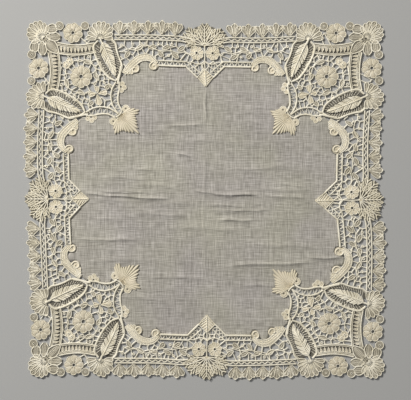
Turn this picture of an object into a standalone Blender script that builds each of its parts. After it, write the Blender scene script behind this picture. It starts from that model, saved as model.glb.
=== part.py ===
"""A lace handkerchief laid flat: a centre of sheer lawn in a broad border of bobbin lace.

The border is drawn once for a side and once for a corner, in millimetres, and turned round the
square. A side is drawn as (along, deep): along it from its middle and in from its outer edge.
A corner is drawn as (a, b): in from its two outer edges. Then the whole square is drawn slightly
out of true, as the washed cloth lies. The part stands on Z = 0, with north at +Y.
"""

import math
import random

import bmesh
import bpy
from mathutils import Vector
from mathutils.geometry import delaunay_2d_cdt

MM = 0.001

# Whole cloth
HALF = 165.0  # from the middle to the tips of the scallops
GAP = 0.3  # between one piece and the next
LAWN = 1.0  # thickness of the lawn
LACE = 1.3  # thickness of plain lace
CORD = 0.5  # rise of a cord above plain lace
RIB = 0.6  # rise of a rib in a fan, a shell or a scallop
PAD = 1.1  # rise of padded work

# Side
MIDDLE_FAN = (0.0, 21.3)
FIRST_TULIP = 27.0
TULIP_PITCH = 12.8
TULIPS = 5  # on each half of a side
TULIP_FOOT = 12.0  # how deep a scallop stands
TULIP_EDGE = ((-4.3, 1.0), (-2.1, 1.9), (0.0, 0.2), (2.1, 1.9), (4.3, 1.0))  # along from its middle, deep
TULIP_NOTCH = 3.6  # depth of the edge between two scallops
TULIP_SPREAD = 3.3  # from a scallop's middle rib to the ends of its other two
TULIP_TIP = 3.8  # depth of the ribs' ends
ARCH = ((2.0, TULIP_FOOT), (3.4, 8.6))  # half the open arch: along from the scallop's middle, deep
ARCH_PEAK = 5.6
FOOTINGS = (13.3, 17.6)  # depths of the two cords under the scallops
INNER_CORD = 36.4
LAWN_CORD = 40.7
LAWN_EDGE = 41.7
POINT = 59.0  # depth of the point that runs into the lawn at the middle
POINT_SIDE = ((17.8, LAWN_EDGE), (8.2, 50.2))
POINT_CORD = (17.4, LAWN_CORD), (8.0, 48.6)
LOZENGE = ((0.0, 45.6), (5.0, 50.8), (0.0, 56.6))  # its padded work, on one side
SIDE_ROSETTE = (7.4, 28.4, 6.2)  # along, deep, radius
SEAM = ((82.8, 17.4), (79.6, 25.6), (77.2, 33.5), (74.0, 40.6), (75.6, 48.8), (77.2, 54.0))
SCROLL = ((44.6, 39.0), (48.6, 34.2), (54.0, 32.8), (59.4, 34.0), (64.4, 38.2), (69.6, 43.2), (74.0, 48.6))
SCROLL_TAIL = (71.4, 48.0)
SCROLL_HOLLOW = ((58.6, 38.8), (54.6, 36.8), (51.2, 38.8))
CURL_A = (46.2, 42.2)
CURL_B = (63.2, 45.0)
CURL_RADIUS = 4.4

# Half of the ground that a side's net covers, from the seam to the point: along, deep
SIDE_NET = (
    (82.0, 18.4),
    (79.0, 26.0),
    (76.4, 33.6),
    (73.0, 42.4),
    (66.0, 36.0),
    (54.0, 29.2),
    (44.0, 35.4),
    (17.0, 35.4),
    (2.0, 46.0),
)

# Corner
SHELL = (10.4, 10.4, 9.6)  # centre and radius
SHELL_ROOT = (20.0, 20.0)
SHELL_EDGE = (225, 238, 251, 264, 277, 290, 303, 316)  # turns of the lobes' tips and notches on its edge
SHELL_RIBS = (-64, -42, -21, 0, 21, 42, 64)  # turns of the ribs from the diagonal
SHELL_LEAF = ((19.0, 4.2), (22.2, 2.6), (25.8, 2.9))  # the edge of the leaf beside it
SHELL_VEINS = (((18.6, 6.6), (24.4, 6.4)), ((20.0, 13.2), (27.4, 13.0)))
RINGS = ((31.0, 4.9, 3.9), (54.8, 4.9, 3.7))  # a, b, radius
EDGE_FLOWER = (43.5, 11.4, 9.2)  # a, b, radius
EAR_FAN = (69.2, 17.2)
INNER_FLOWER = (51.5, 51.5, 10.3)
QUATREFOIL = (67.0, 67.0)
QUATREFOIL_REACH = 5.0
PALMETTE = (86.7, 86.7)
TREFOIL = (92.0, 61.4)
TREFOIL_EDGE = ((91.6, 57.2), (94.6, 59.6), (94.4, 63.0), (91.2, 65.4), (88.0, 65.6))
ARC_EDGE = ((86.3, 69.4), (86.4, 75.6))
LEAF_VEIN = ((71.2, 20.6), (73.0, 25.8), (75.2, 31.4), (77.6, 37.2), (80.2, 43.2), (82.4, 48.6), (84.0, 52.6))
LEAF_WIDTHS = (2.0, 5.7, 6.6, 6.3, 5.4, 3.8, 0.7)  # half the leaf's width at each point of its vein
EAR_LEFT = ((63.2, 23.0), (63.4, 28.4), (65.2, 34.0), (68.6, 41.0), (72.8, 47.6), (78.0, 53.0), (83.2, 55.6))
EAR_RIGHT = ((80.8, 20.0), (83.4, 26.4), (85.7, 33.8), (88.6, 40.6), (87.4, 48.6), (85.6, 54.4))
FRAME_OUTER = ((29.0, 20.2), (37.0, 21.8), (46.0, 22.6), (54.0, 22.2), (61.6, 21.2))
FRAME_INNER = ((30.2, 30.4), (38.0, 31.4), (46.0, 31.8), (55.0, 31.2), (62.6, 30.0))
FRAME_STUD = (33.0, 26.4)  # the first of the small studs between the frame's two cords
FRAME_STUD_PITCH = 4.4
WEDGE = ((54.6, 12.0), (56.4, 14.4), (58.6, 17.4), (59.6, 19.6), (50.6, 20.4), (53.4, 16.4))
ARC_CORD = ((83.6, 57.6), (80.2, 63.0), (79.2, 70.0), (80.6, 77.6), (84.4, 84.4))

# Half of the ground that a corner's net covers, up to the diagonal: a, b
CORNER_NET = (
    (31.0, 31.0),
    (46.0, 32.4),
    (63.4, 31.0),
    (67.0, 38.6),
    (71.6, 46.6),
    (77.0, 52.6),
    (82.0, 57.0),
    (79.0, 63.0),
    (78.0, 70.0),
    (79.4, 78.0),
    (83.4, 83.4),
)

# Ribs of a fan: turn from its axis in degrees, and length
MIDDLE_FAN_RIBS = ((-54, 24.4), (-37, 21.2), (-19, 19.2), (0, 21.0), (19, 19.2), (37, 21.2), (54, 24.4))
EAR_FAN_RIBS = ((-57, 12.6), (-31, 14.6), (-12, 15.8), (8, 16.4), (28, 15.8), (48, 14.8), (80, 12.4))
PALMETTE_RIBS = ((-92, 12.0), (-57, 16.6), (-28, 16.8), (0, 23.0), (28, 16.8), (57, 16.6), (92, 12.0))

# Sprigs in the side's net: along, deep, length, turn in degrees
SPRIGS = (
    (21.5, 24.5, 6.0, 35),
    (27.0, 31.5, 6.0, -35),
    (35.5, 24.0, 6.0, 25),
    (40.5, 30.6, 5.0, -50),
    (48.0, 24.4, 6.0, 10),
    (60.0, 25.0, 6.0, 35),
    (70.5, 31.0, 6.0, 60),
)
CORNER_SPRIGS = (
    (41.0, 37.4, 3.0, 30),
    (56.6, 38.0, 7.0, 15),
    (66.0, 51.5, 6.0, 60),
    (76.0, 61.0, 4.0, -40),
)
SPRIG_CLEAR = 1.7  # how far the net's holes keep from a sprig's line

# How the cloth lies out of true: side, along it, in from its edge, shift east, shift north
LIE = (
    (0, -145, 20, -0.5, 0.5),
    (0, -121, 11, -1.5, 0.5),
    (0, -96, 17, -1.0, 0.0),
    (0, -77, 57, -3.5, 0.5),
    (0, -50, 0, 0.0, 0.5),
    (0, 0, 0, -1.0, -2.6),
    (0, 0, 21, -1.5, -1.0),
    (0, 0, 57, 0.5, -1.5),
    (0, 30, 0, 0.0, -2.5),
    (0, 50, 0, 0.0, -4.0),
    (0, 78, 0, 0.0, -2.5),
    (0, 77, 57, -2.5, -1.5),
    (0, 96, 17, -1.0, 0.5),
    (0, 121, 11, -1.0, 0.0),
    (0, -113, 51, -1.5, 0.0),
    (0, -78, 87, 1.0, -1.0),
    (1, -145, 20, 0.0, 0.0),
    (1, -121, 11, 0.0, 0.0),
    (1, -96, 17, 1.5, -1.5),
    (1, -77, 57, -3.0, 0.0),
    (1, -50, 0, -2.5, 0.0),
    (1, 0, 21, -1.0, -0.5),
    (1, 0, 57, -5.5, -1.5),
    (1, 26, 0, 2.5, 0.0),
    (1, 50, 0, 3.0, 0.0),
    (1, 75, 0, 2.0, 0.0),
    (1, 77, 57, -0.5, -4.5),
    (1, 96, 17, 1.5, -1.0),
    (1, 121, 11, 1.0, 0.0),
    (1, -113, 51, -2.5, 0.5),
    (1, -78, 87, 1.0, -2.0),
    (2, -145, 20, 0.5, -1.5),
    (2, -121, 11, 1.0, -0.5),
    (2, -96, 17, 1.5, 1.0),
    (2, -77, 57, -2.5, -3.0),
    (2, -50, 0, 0.0, -2.0),
    (2, 0, 21, 1.5, -2.5),
    (2, 0, 57, 1.5, -1.0),
    (2, 50, 0, 0.0, 1.0),
    (2, 77, 57, 1.5, -1.5),
    (2, 96, 17, -2.5, 1.0),
    (2, 121, 11, 0.0, 1.0),
    (2, -113, 51, 1.5, -0.5),
    (2, -78, 87, 1.5, -3.5),
    (3, -145, 20, 1.0, 0.0),
    (3, -121, 11, 1.5, 1.5),
    (3, -96, 17, 2.5, 2.0),
    (3, -77, 57, 0.5, 3.5),
    (3, -50, 0, 0.0, 0.0),
    (3, 0, 0, -3.0, 0.5),
    (3, 0, 21, 0.0, 0.5),
    (3, 26, 0, -4.0, 0.0),
    (3, 0, 57, -3.0, 0.5),
    (3, 50, 0, -5.0, 0.0),
    (3, 72, 0, -2.5, 0.0),
    (3, 77, 57, -3.0, 0.0),
    (3, 96, 17, -1.0, -1.0),
    (3, 121, 11, 0.0, -0.5),
    (3, -113, 51, 1.0, 0.0),
    (3, -78, 87, 0.0, 2.0),
)
LIE_REACH = 22.0  # how far one row's shift carries

# Folds in the lawn: its two ends east and north of the middle, height and half width
CREASES = (
    (-112.0, 5.0, -52.0, 0.5, 1.6, 5.0),
    (-52.0, 0.5, -16.0, 0.0, 1.2, 4.0),
    (6.0, 4.6, 52.0, 4.8, 1.2, 4.0),
    (52.0, 4.8, 98.0, 1.0, 0.9, 5.0),
    (0.6, 104.0, 0.4, 62.0, 0.9, 4.0),
    (-118.0, -36.0, -58.0, -36.5, 1.0, 5.0),
    (22.0, -59.5, 106.0, -57.0, 1.1, 5.0),
    (12.0, -18.0, 52.0, -18.6, 0.9, 4.0),
    (-34.0, 69.0, 4.0, 71.5, 0.8, 4.0),
)

# The net: how far apart its holes are, how broad its bars are, and the least hole that is cut
NET_PITCH = 6.3
NET_BAR = 1.3
LEAST_HOLE = 4.0
ROW_PITCH = 0.87 * NET_PITCH
UNEVEN = 0.3  # how far a hole strays from its place in the row, as a share of the pitch
EVENINGS = 4

NAMES = ("north", "east", "south", "west")
CORNER_NAMES = ("north_west", "north_east", "south_east", "south_west")


# The square


def side_place(side, along, deep):
    """The point of a side, before the cloth lies out of true."""
    x, y = along, HALF - deep
    for _ in range(side):
        x, y = y, -x
    return x, y


def corner_place(corner, a, b):
    """The point of a corner. It stands at the start of the side with its number."""
    return side_place(corner, a - HALF, b)


def out_of_true(point):
    """The point shifted as the cloth lies out of true."""
    x, y = point
    total, east, north = 0.15, 0.0, 0.0
    for side, along, deep, shift_east, shift_north in LIE:
        px, py = side_place(side, along, deep)
        near = math.exp(-((x - px) ** 2 + (y - py) ** 2) / (2 * LIE_REACH**2))
        total += near
        east += near * shift_east
        north += near * shift_north
    return x + east / total, y + north / total


def lain(point):
    """The point where the cloth really lies, with the middle of its whole box at the origin."""
    x, y = out_of_true(point)
    return x - BOX_MIDDLE[0], y - BOX_MIDDLE[1]


def on_side(side, points):
    return [lain(side_place(side, *p)) for p in points]


def on_corner(corner, points):
    return [lain(corner_place(corner, *p)) for p in points]


# Drawing


def polar(centre, degrees, radius):
    turn = math.radians(degrees)
    return centre[0] + radius * math.cos(turn), centre[1] + radius * math.sin(turn)


def arc(centre, radius, first, last, steps):
    return [polar(centre, first + (last - first) * i / steps, radius) for i in range(steps + 1)]


def fan_edge(root, axis, ribs, notch=0.84):
    """The scalloped edge of a fan whose ribs spread from its root about an axis."""
    half_lobe = 1.45
    shoulder = 0.965
    edge = []
    for i, (turn, length) in enumerate(ribs):
        if i:
            before, last = ribs[i - 1]
            edge.append(polar(root, axis + (before + turn) / 2, notch * min(last, length)))
        spread = math.degrees(half_lobe / length)
        edge.append(polar(root, axis + turn - spread, shoulder * length))
        edge.append(polar(root, axis + turn, length))
        edge.append(polar(root, axis + turn + spread, shoulder * length))
    return edge


def fan_ribs(root, axis, ribs):
    """Raised ribs of a fan, as (points, rise)."""
    start, end = 0.28, 0.86
    return [([polar(root, axis + t, start * r), polar(root, axis + t, end * r)], RIB) for t, r in ribs]


def mirrored(points):
    """The other half of a corner, drawn backwards."""
    return [(b, a) for a, b in reversed(points)]


def bar(along, deep, length, turn):
    """The two ends of a short straight sprig."""
    return polar((along, deep), turn, length / 2), polar((along, deep), turn + 180, length / 2)


def turned_round(points):
    """The loop with its points running anticlockwise."""
    area = sum(p[0] * q[1] - q[0] * p[1] for p, q in zip(points, points[1:] + points[:1]))
    return points if area > 0 else points[::-1]


def grown(points, by):
    """A closed loop moved outwards by a distance, or inwards by a negative one."""
    sharpest = 0.5
    loop = turned_round(points)
    moved = []
    for before, here, after in zip(loop[-1:] + loop[:-1], loop, loop[1:] + loop[:1]):
        one = Vector((here[1] - before[1], before[0] - here[0])).normalized()
        two = Vector((after[1] - here[1], here[0] - after[0])).normalized()
        both = (one + two).normalized()
        reach = by / max(sharpest, both.dot(one))
        moved.append((here[0] + both.x * reach, here[1] + both.y * reach))
    return moved


# The net of bars


def nearest(core, point):
    """The point of a disc's middle or of a bar's line that is nearest."""
    one, two = Vector(core[0]), Vector(core[1])
    line = two - one
    share = (point - one).dot(line) / line.length_squared if line.length_squared else 0.0
    return one + line * min(1.0, max(0.0, share))


def clipped(loop, foot, normal):
    """The part of a convex loop that lies behind a line."""
    kept = []
    for p, q in zip(loop, loop[1:] + loop[:1]):
        here, there = (p - foot).dot(normal), (q - foot).dot(normal)
        if here <= 0:
            kept.append(p)
        if here * there < 0:
            kept.append(p + (q - p) * (here / (here - there)))
    return kept


def cell(seed, others, blocks):
    """The hole round one seed: half way to each other seed, and clear of every block."""
    reach = 1.3 * NET_PITCH
    loop = [seed + Vector(c) * reach for c in ((-1, -1), (1, -1), (1, 1), (-1, 1))]
    for other in others:
        between = other - seed
        if 0 < between.length < 3 * reach:
            normal = between.normalized()
            loop = clipped(loop, seed + between / 2 - normal * NET_BAR / 2, normal)
    for core, radius in blocks:
        foot = nearest(core, seed)
        away = foot - seed
        if away.length > 1e-6:
            loop = clipped(loop, foot - away.normalized() * radius, away.normalized())
    return loop


def middle(loop):
    return sum(loop, Vector((0, 0))) / len(loop)


def hole_size(loop):
    """Twice the distance from a hole's middle to its nearest edge."""
    centre = middle(loop)
    reach = [(centre - nearest((p, q), centre)).length for p, q in zip(loop, loop[1:] + loop[:1])]
    return 2 * min(reach)


def simpler(loop, least=1.3):
    """The loop with each short edge drawn together to one point."""
    kept = []
    for p in loop:
        if not kept or (p - kept[-1]).length > least:
            kept.append(p)
    if len(kept) > 3 and (kept[0] - kept[-1]).length <= least:
        kept.pop()
    return kept


def inside(loop, point):
    """True if the point lies in the loop."""
    x, y = point
    crossed = False
    for (ax, ay), (bx, by) in zip(loop, loop[1:] + loop[:1]):
        if (ay > y) != (by > y) and x < (bx - ax) * (y - ay) / (by - ay) + ax:
            crossed = not crossed
    return crossed


def net_holes(region, blocks, number):
    """The net's holes in a region, drawn round seeds that are spread and then evened out."""
    chance = random.Random(number)
    low = [min(p[i] for p in region) for i in (0, 1)]
    high = [max(p[i] for p in region) for i in (0, 1)]
    rows = int((high[1] - low[1]) / ROW_PITCH) + 1
    columns = int((high[0] - low[0]) / NET_PITCH) + 1
    seeds = []
    for row in range(rows + 1):
        for column in range(columns + 1):
            along = low[0] + (column + 0.5 * (row % 2) + chance.uniform(-UNEVEN, UNEVEN)) * NET_PITCH
            deep = low[1] + (row + chance.uniform(-UNEVEN, UNEVEN)) * ROW_PITCH
            seeds.append(Vector((along, deep)))

    def free(seed):
        clear = all((nearest(core, seed) - seed).length > radius + NET_BAR / 2 for core, radius in blocks)
        return clear and inside(region, seed)

    seeds = [seed for seed in seeds if free(seed)]
    for _ in range(EVENINGS):
        cells = [cell(seed, seeds, blocks) for seed in seeds]
        seeds = [middle(loop) if len(loop) > 2 else seed for loop, seed in zip(cells, seeds)]
        seeds = [seed for seed in seeds if free(seed)]
    holes = [simpler(cell(seed, seeds, blocks)) for seed in seeds]
    return [[tuple(p) for p in loop] for loop in holes if len(loop) > 2 and hole_size(loop) >= LEAST_HOLE]


def line_blocks(points, radius):
    return [((p, q), radius) for p, q in zip(points, points[1:])]


# The side


def tulip_centres():
    return [FIRST_TULIP + TULIP_PITCH * i for i in range(TULIPS)]


def side_half_edge(chance):
    """The outer edge of half a side, from beyond the middle fan to the seam."""
    edge = []
    for centre in tulip_centres():
        drop = chance.uniform(-0.3, 0.6)
        edge.append((centre - TULIP_PITCH / 2, TULIP_NOTCH + drop))
        for turn, deep in TULIP_EDGE:
            edge.append((centre + turn, deep + drop))
    edge.append((SEAM[0][0], TULIP_NOTCH))
    return edge + list(SEAM)


def side_half_lawn_edge():
    """The edge that meets the lawn, from the seam to the middle's point."""
    edge = [SCROLL_TAIL]
    edge += arc(CURL_B, CURL_RADIUS, 14, 176, 4)
    edge += SCROLL_HOLLOW
    edge += arc(CURL_A, CURL_RADIUS, 4, 140, 3)
    return edge + [(CURL_A[0] - CURL_RADIUS - 0.6, LAWN_EDGE)] + list(POINT_SIDE)


def side_outline(side):
    chance = random.Random(10 + side)
    east = side_half_edge(chance) + side_half_lawn_edge()
    west = side_half_edge(chance) + side_half_lawn_edge()
    fan = fan_edge(MIDDLE_FAN, -90, MIDDLE_FAN_RIBS)[1:-1]
    return fan + east + [(0.0, POINT)] + [(-s, d) for s, d in reversed(west)]


def tulip_holes(sign):
    """The open arches between neighbouring scallops."""
    centres = tulip_centres()
    holes = []
    for left, right in zip(centres, centres[1:]):
        loop = [(left + s, d) for s, d in ARCH]
        loop.append(((left + right) / 2, ARCH_PEAK))
        loop += [(right - s, d) for s, d in reversed(ARCH)]
        holes.append([(sign * s, d) for s, d in loop])
    return holes


def side_blocks():
    """What the net of a side keeps clear of, as (the two ends of a line, how far off)."""
    blocks = [(((-HALF / 2, FOOTINGS[1]), (HALF / 2, FOOTINGS[1])), 1.2)]
    for sign in (-1, 1):
        along, deep, radius = SIDE_ROSETTE
        blocks.append((((sign * along, deep),) * 2, radius + 0.4))
        blocks += line_blocks([(sign * 44.0, INNER_CORD), (sign * 16.4, INNER_CORD), (sign * 4.6, 46.6)], 0.9)
        blocks += line_blocks([(sign * 18.4, 16.0), MIDDLE_FAN], 1.6)
        blocks += line_blocks([(sign * s, d) for s, d in SCROLL[:5]], 3.6)
        blocks += line_blocks([(sign * s, d) for s, d in SCROLL[4:]], 2.4)
        blocks += line_blocks([(sign * s, d) for s, d in SEAM], 1.5)
        for along, deep, length, turn in SPRIGS:
            ends = bar(sign * along, deep, length, sign * turn)
            blocks.append((ends, SPRIG_CLEAR))
    blocks.append((((0.0, 24.0), (0.0, 36.0)), 0.8))
    blocks.append((((0.0, 48.0), (0.0, 52.0)), 4.0))
    return blocks


def side_region():
    return list(SIDE_NET) + [(-s, d) for s, d in reversed(SIDE_NET)]


def side_relief():
    """Cords, ribs and leaves that stand up on a side, as (points, rise)."""
    relief = fan_ribs(MIDDLE_FAN, -90, MIDDLE_FAN_RIBS)
    for sign in (-1, 1):
        for depth in FOOTINGS:
            relief.append(([(sign * s, depth) for s in (22.0, 42.0, 62.0, 81.8)], CORD))
        relief.append(([(sign * s, INNER_CORD) for s in (41.0, 30.0, 17.4)], CORD))
        relief.append(([(sign * s, d) for s, d in ((40.4, LAWN_CORD), *POINT_CORD)], CORD))
        relief.append(([(sign * s, d) for s, d in SCROLL[:-1]], PAD))
        for centre in tulip_centres():
            for turn in (-TULIP_SPREAD, 0.0, TULIP_SPREAD):
                last = min(centre + turn, SEAM[0][0] - 1.2)
                relief.append(([(sign * centre, TULIP_FOOT - 0.6), (sign * last, TULIP_TIP)], RIB))
        for along, deep, length, turn in SPRIGS:
            relief.append((list(bar(sign * along, deep, length, sign * turn)), RIB))
        for centre in (CURL_A, CURL_B):
            relief.append(([(sign * centre[0], centre[1])], PAD))
        along, deep, radius = SIDE_ROSETTE
        ring = arc((sign * along, deep), 0.62 * radius, 0, 360, 7)
        relief.append((ring[:-1] + ring[:1], PAD))
        relief.append(([(sign * s, d) for s, d in LOZENGE[1:2]], PAD))
    relief += [([point], PAD) for point in LOZENGE[::2]]
    return relief


# The corner


def corner_half_edge():
    """Half a corner's outline, from the shell's tip round to the palmette's tip."""
    a, b, radius = SHELL
    edge = []
    for i, turn in enumerate(SHELL_EDGE):
        edge.append(polar((a, b), turn, radius if i % 2 == 0 else 0.9 * radius))
    edge += SHELL_LEAF
    edge += arc(RINGS[0][:2], RINGS[0][2], 205, 335, 3)
    flower = EDGE_FLOWER
    edge += arc(flower[:2], flower[2] + GAP, 212, -32, 9)
    edge += arc(RINGS[1][:2], RINGS[1][2], 215, 325, 3)
    fan = fan_edge(EAR_FAN, 270, EAR_FAN_RIBS[1:])
    edge += [p for p in fan if p[0] < HALF - SEAM[0][0] - 1.0]
    edge += [(HALF - s - GAP, d) for s, d in SEAM]
    edge += TREFOIL_EDGE + ARC_EDGE
    palmette = fan_edge(PALMETTE, 45, PALMETTE_RIBS[:4], 0.8)
    return edge + palmette[:-1]


def corner_outline():
    half = corner_half_edge()
    return half + mirrored(half)[1:-1]


def leaf_side(share):
    """The points a share of the way from the leaf's vein to one edge, from root to tip."""
    points = []
    for i, (point, width) in enumerate(zip(LEAF_VEIN, LEAF_WIDTHS)):
        before, after = LEAF_VEIN[max(0, i - 1)], LEAF_VEIN[min(i + 1, len(LEAF_VEIN) - 1)]
        along = (Vector(after) - Vector(before)).normalized()
        points.append(tuple(Vector(point) + Vector((along.y, -along.x)) * width * share))
    return points


def leaf_outline(grow=0.0):
    """The padded feather leaf in an ear, broad near its root."""
    loop = leaf_side(1) + leaf_side(-1)[::-1]
    return grown(loop, grow) if grow else loop


def flower_outline(flower, petals=8, grow=0.0):
    a, b, radius = flower
    half_petal = 14
    notch = 0.9
    loop = []
    for i in range(petals):
        turn = 360 / petals * i
        loop.append(polar((a, b), turn - half_petal, radius + grow))
        loop.append(polar((a, b), turn + half_petal, radius + grow))
        loop.append(polar((a, b), turn + 180 / petals, notch * radius + grow))
    return loop


def corner_half_blocks():
    blocks = line_blocks(FRAME_INNER, 1.0)
    blocks += line_blocks(EAR_LEFT, 1.2)
    blocks += line_blocks(ARC_CORD, 1.0)
    for a, b, length, turn in CORNER_SPRIGS:
        blocks.append((bar(a, b, length, turn), SPRIG_CLEAR))
    return blocks


def corner_blocks():
    """What the net of a corner keeps clear of."""
    half = corner_half_blocks()
    blocks = half + [(tuple((b, a) for a, b in core), radius) for core, radius in half]
    a, b, radius = INNER_FLOWER
    blocks.append((((a, b),) * 2, radius + GAP + 0.9))
    a, b = QUATREFOIL
    for turn in (0, 90):
        blocks.append((bar(a, b, 2 * QUATREFOIL_REACH, turn), 2.1))
    return blocks


def corner_region():
    return list(CORNER_NET) + mirrored(CORNER_NET)[1:-1]


def corner_relief():
    """Cords, ribs and leaves that stand up on a corner, as (points, rise)."""
    half = fan_ribs(EAR_FAN, 270, EAR_FAN_RIBS)
    half += [(list(cord), CORD) for cord in (FRAME_OUTER, FRAME_INNER, EAR_LEFT, EAR_RIGHT, ARC_CORD[:-1])]
    half.append(([(FRAME_STUD[0] + FRAME_STUD_PITCH * i, FRAME_STUD[1]) for i in range(7)], CORD))
    half.append(([TREFOIL], PAD))
    half += [([ring[:2]], RIB) for ring in RINGS]
    half += [(list(vein), RIB) for vein in SHELL_VEINS]
    for a, b, length, turn in CORNER_SPRIGS:
        half.append((list(bar(a, b, length, turn)), RIB))
    relief = half + [(mirrored(points), rise) for points, rise in half]
    relief += fan_ribs(PALMETTE, 45, PALMETTE_RIBS)
    for turn in SHELL_RIBS:
        near = polar(SHELL_ROOT, 225 + turn / 2.6, 7.0)
        relief.append(([near, polar(SHELL[:2], 225 + 1.5 * turn, 0.72 * SHELL[2])], RIB))
    a, b = QUATREFOIL
    relief.append(([(a - QUATREFOIL_REACH, b), (a, b), (a + QUATREFOIL_REACH, b)], RIB))
    relief.append(([(a, b - QUATREFOIL_REACH), (a, b), (a, b + QUATREFOIL_REACH)], RIB))
    return relief


# The box


def box_middle():
    """The middle of the box round the whole edge, before it is moved to the origin."""
    edge = []
    for side in range(4):
        edge += [out_of_true(side_place(side, *p)) for p in side_outline(side)]
        edge += [out_of_true(corner_place(side, *p)) for p in corner_outline()]
    return [(min(p[i] for p in edge) + max(p[i] for p in edge)) / 2 for i in (0, 1)]


# The lawn


def corner_half_lawn_edge():
    """The part of a corner's edge that meets the lawn, from the seam to the palmette's tip."""
    half = corner_half_edge()
    return half[1 + half.index((HALF - SEAM[-1][0] - GAP, SEAM[-1][1])):]


def lawn_outline():
    """The line all round between the lace and the lawn."""
    loop = []
    half_side = [SEAM[-1]] + side_half_lawn_edge()
    half_corner = corner_half_lawn_edge()
    for side in range(4):
        loop += on_corner(side, [(b, a) for a, b in half_corner])
        loop += on_corner(side, half_corner[-2::-1])
        loop += on_side(side, [(-s, d) for s, d in half_side])
        loop += on_side(side, [(0.0, POINT)] + half_side[::-1])
    return loop


def crease_height(point):
    """How far the folds lift the lawn there. Each runs out to nothing at its ends and sides."""
    here = Vector(point)
    lift = 0.0
    for ax, ay, bx, by, height, half_width in CREASES:
        one, line = Vector((ax, ay)), Vector((bx - ax, by - ay))
        share = (here - one).dot(line) / line.length_squared
        across = abs((here - one).cross(line)) / line.length / half_width
        ends = min(1.0, max(0.0, 5.0 * min(share, 1.0 - share)))
        lift = max(lift, height * ends * max(0.0, 1.0 - across))
    return lift


# Making the solids


def sheet(name, outline, holes, relief, thickness, material, lift=None):
    """A solid cut to an outline, open at its holes and raised along its relief."""
    crossing = 0.0 if lift else RIB
    points, rises, edges, loops = [], [], [], []
    for loop in [outline] + holes:
        loop = turned_round(loop)
        loops.append(list(range(len(points), len(points) + len(loop))))
        points += loop
        rises += [0.0] * len(loop)
    for line, rise in relief:
        first = len(points)
        points += line
        rises += [rise] * len(line)
        edges += [(first + i, first + i + 1) for i in range(len(line) - 1)]
    found = delaunay_2d_cdt([Vector(p) for p in points], edges, loops, 1, 1e-4)
    made, _, faces, sources, _, owners = found
    mesh = bmesh.new()
    corners = []
    for place, source in zip(made, sources):
        rise = max((rises[i] for i in source), default=crossing)
        base = lift(place) if lift else 0.0
        corners.append(mesh.verts.new((place.x * MM, place.y * MM, (base + thickness + rise) * MM)))
    for face, owner in zip(faces, owners):
        if list(owner) == [0]:
            mesh.faces.new([corners[i] for i in face])
    bmesh.ops.delete(mesh, geom=[v for v in mesh.verts if not v.link_faces], context="VERTS")
    bmesh.ops.recalc_face_normals(mesh, faces=mesh.faces)
    if mesh.faces[:][0].normal.z < 0:
        bmesh.ops.reverse_faces(mesh, faces=mesh.faces)
    under = bmesh.ops.extrude_face_region(mesh, geom=mesh.faces[:])
    for element in under["geom"]:
        if isinstance(element, bmesh.types.BMVert):
            base = lift(Vector((element.co.x / MM, element.co.y / MM))) if lift else 0.0
            element.co.z = base * MM
    bmesh.ops.recalc_face_normals(mesh, faces=mesh.faces)
    data = bpy.data.meshes.new(name)
    mesh.to_mesh(data)
    mesh.free()
    data.materials.append(material)
    piece = bpy.data.objects.new(name, data)
    CLOTH.objects.link(piece)
    return piece


def finish(name, colour, roughness):
    """A plain thread finish. The colour is linear."""
    material = bpy.data.materials.new(name)
    material.use_nodes = True
    shader = material.node_tree.nodes["Principled BSDF"]
    shader.inputs["Base Color"].default_value = (*colour, 1.0)
    shader.inputs["Roughness"].default_value = roughness
    shader.inputs["Metallic"].default_value = 0.0
    material.diffuse_color = (*colour, 1.0)
    return material


def make_side(side):
    holes = tulip_holes(1) + tulip_holes(-1) + net_holes(side_region(), side_blocks(), side)
    return sheet(
        f"side_lace_{NAMES[side]}",
        on_side(side, side_outline(side)),
        [on_side(side, hole) for hole in holes],
        [(on_side(side, line), rise) for line, rise in side_relief()],
        LACE,
        LACE_THREAD,
    )


def make_corner(corner):
    half = [list(WEDGE), leaf_outline(GAP)]
    holes = half + [mirrored(hole) for hole in half]
    holes.append(flower_outline(INNER_FLOWER, grow=GAP))
    holes += net_holes(corner_region(), corner_blocks(), 20 + corner)
    return sheet(
        f"corner_lace_{CORNER_NAMES[corner]}",
        on_corner(corner, corner_outline()),
        [on_corner(corner, hole) for hole in holes],
        [(on_corner(corner, line), rise) for line, rise in corner_relief()],
        LACE,
        LACE_THREAD,
    )


def make_leaf(corner, swapped):
    """A feather leaf: a raised middle vein and a row of knots half way out to each edge."""
    relief = [(list(LEAF_VEIN[:-1]), PAD)]
    for share in (-0.55, 0.55):
        relief += [([point], 0.7 * PAD) for point in leaf_side(share)[1:-1]]
    loop = leaf_outline()
    if swapped:
        loop = mirrored(loop)
        relief = [(mirrored(line), rise) for line, rise in relief]
    name = f"leaf_{CORNER_NAMES[corner]}_{'b' if swapped else 'a'}"
    raised = [(on_corner(corner, line), rise) for line, rise in relief]
    return sheet(name, on_corner(corner, loop), [], raised, LACE, PADDED_THREAD)


def make_flower(name, corner, flower, swapped=False):
    """A flower of eight petals about a low centre."""
    loop = flower_outline(flower)
    centre = flower[:2]
    relief = [([polar(centre, 45 * i, 0.68 * flower[2])], PAD) for i in range(8)]
    relief.append(([centre], -0.3))
    if swapped:
        loop = mirrored(loop)
        relief = [(mirrored(line), rise) for line, rise in relief]
    raised = [(on_corner(corner, line), rise) for line, rise in relief]
    return sheet(name, on_corner(corner, loop), [], raised, LACE, PADDED_THREAD)


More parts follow.
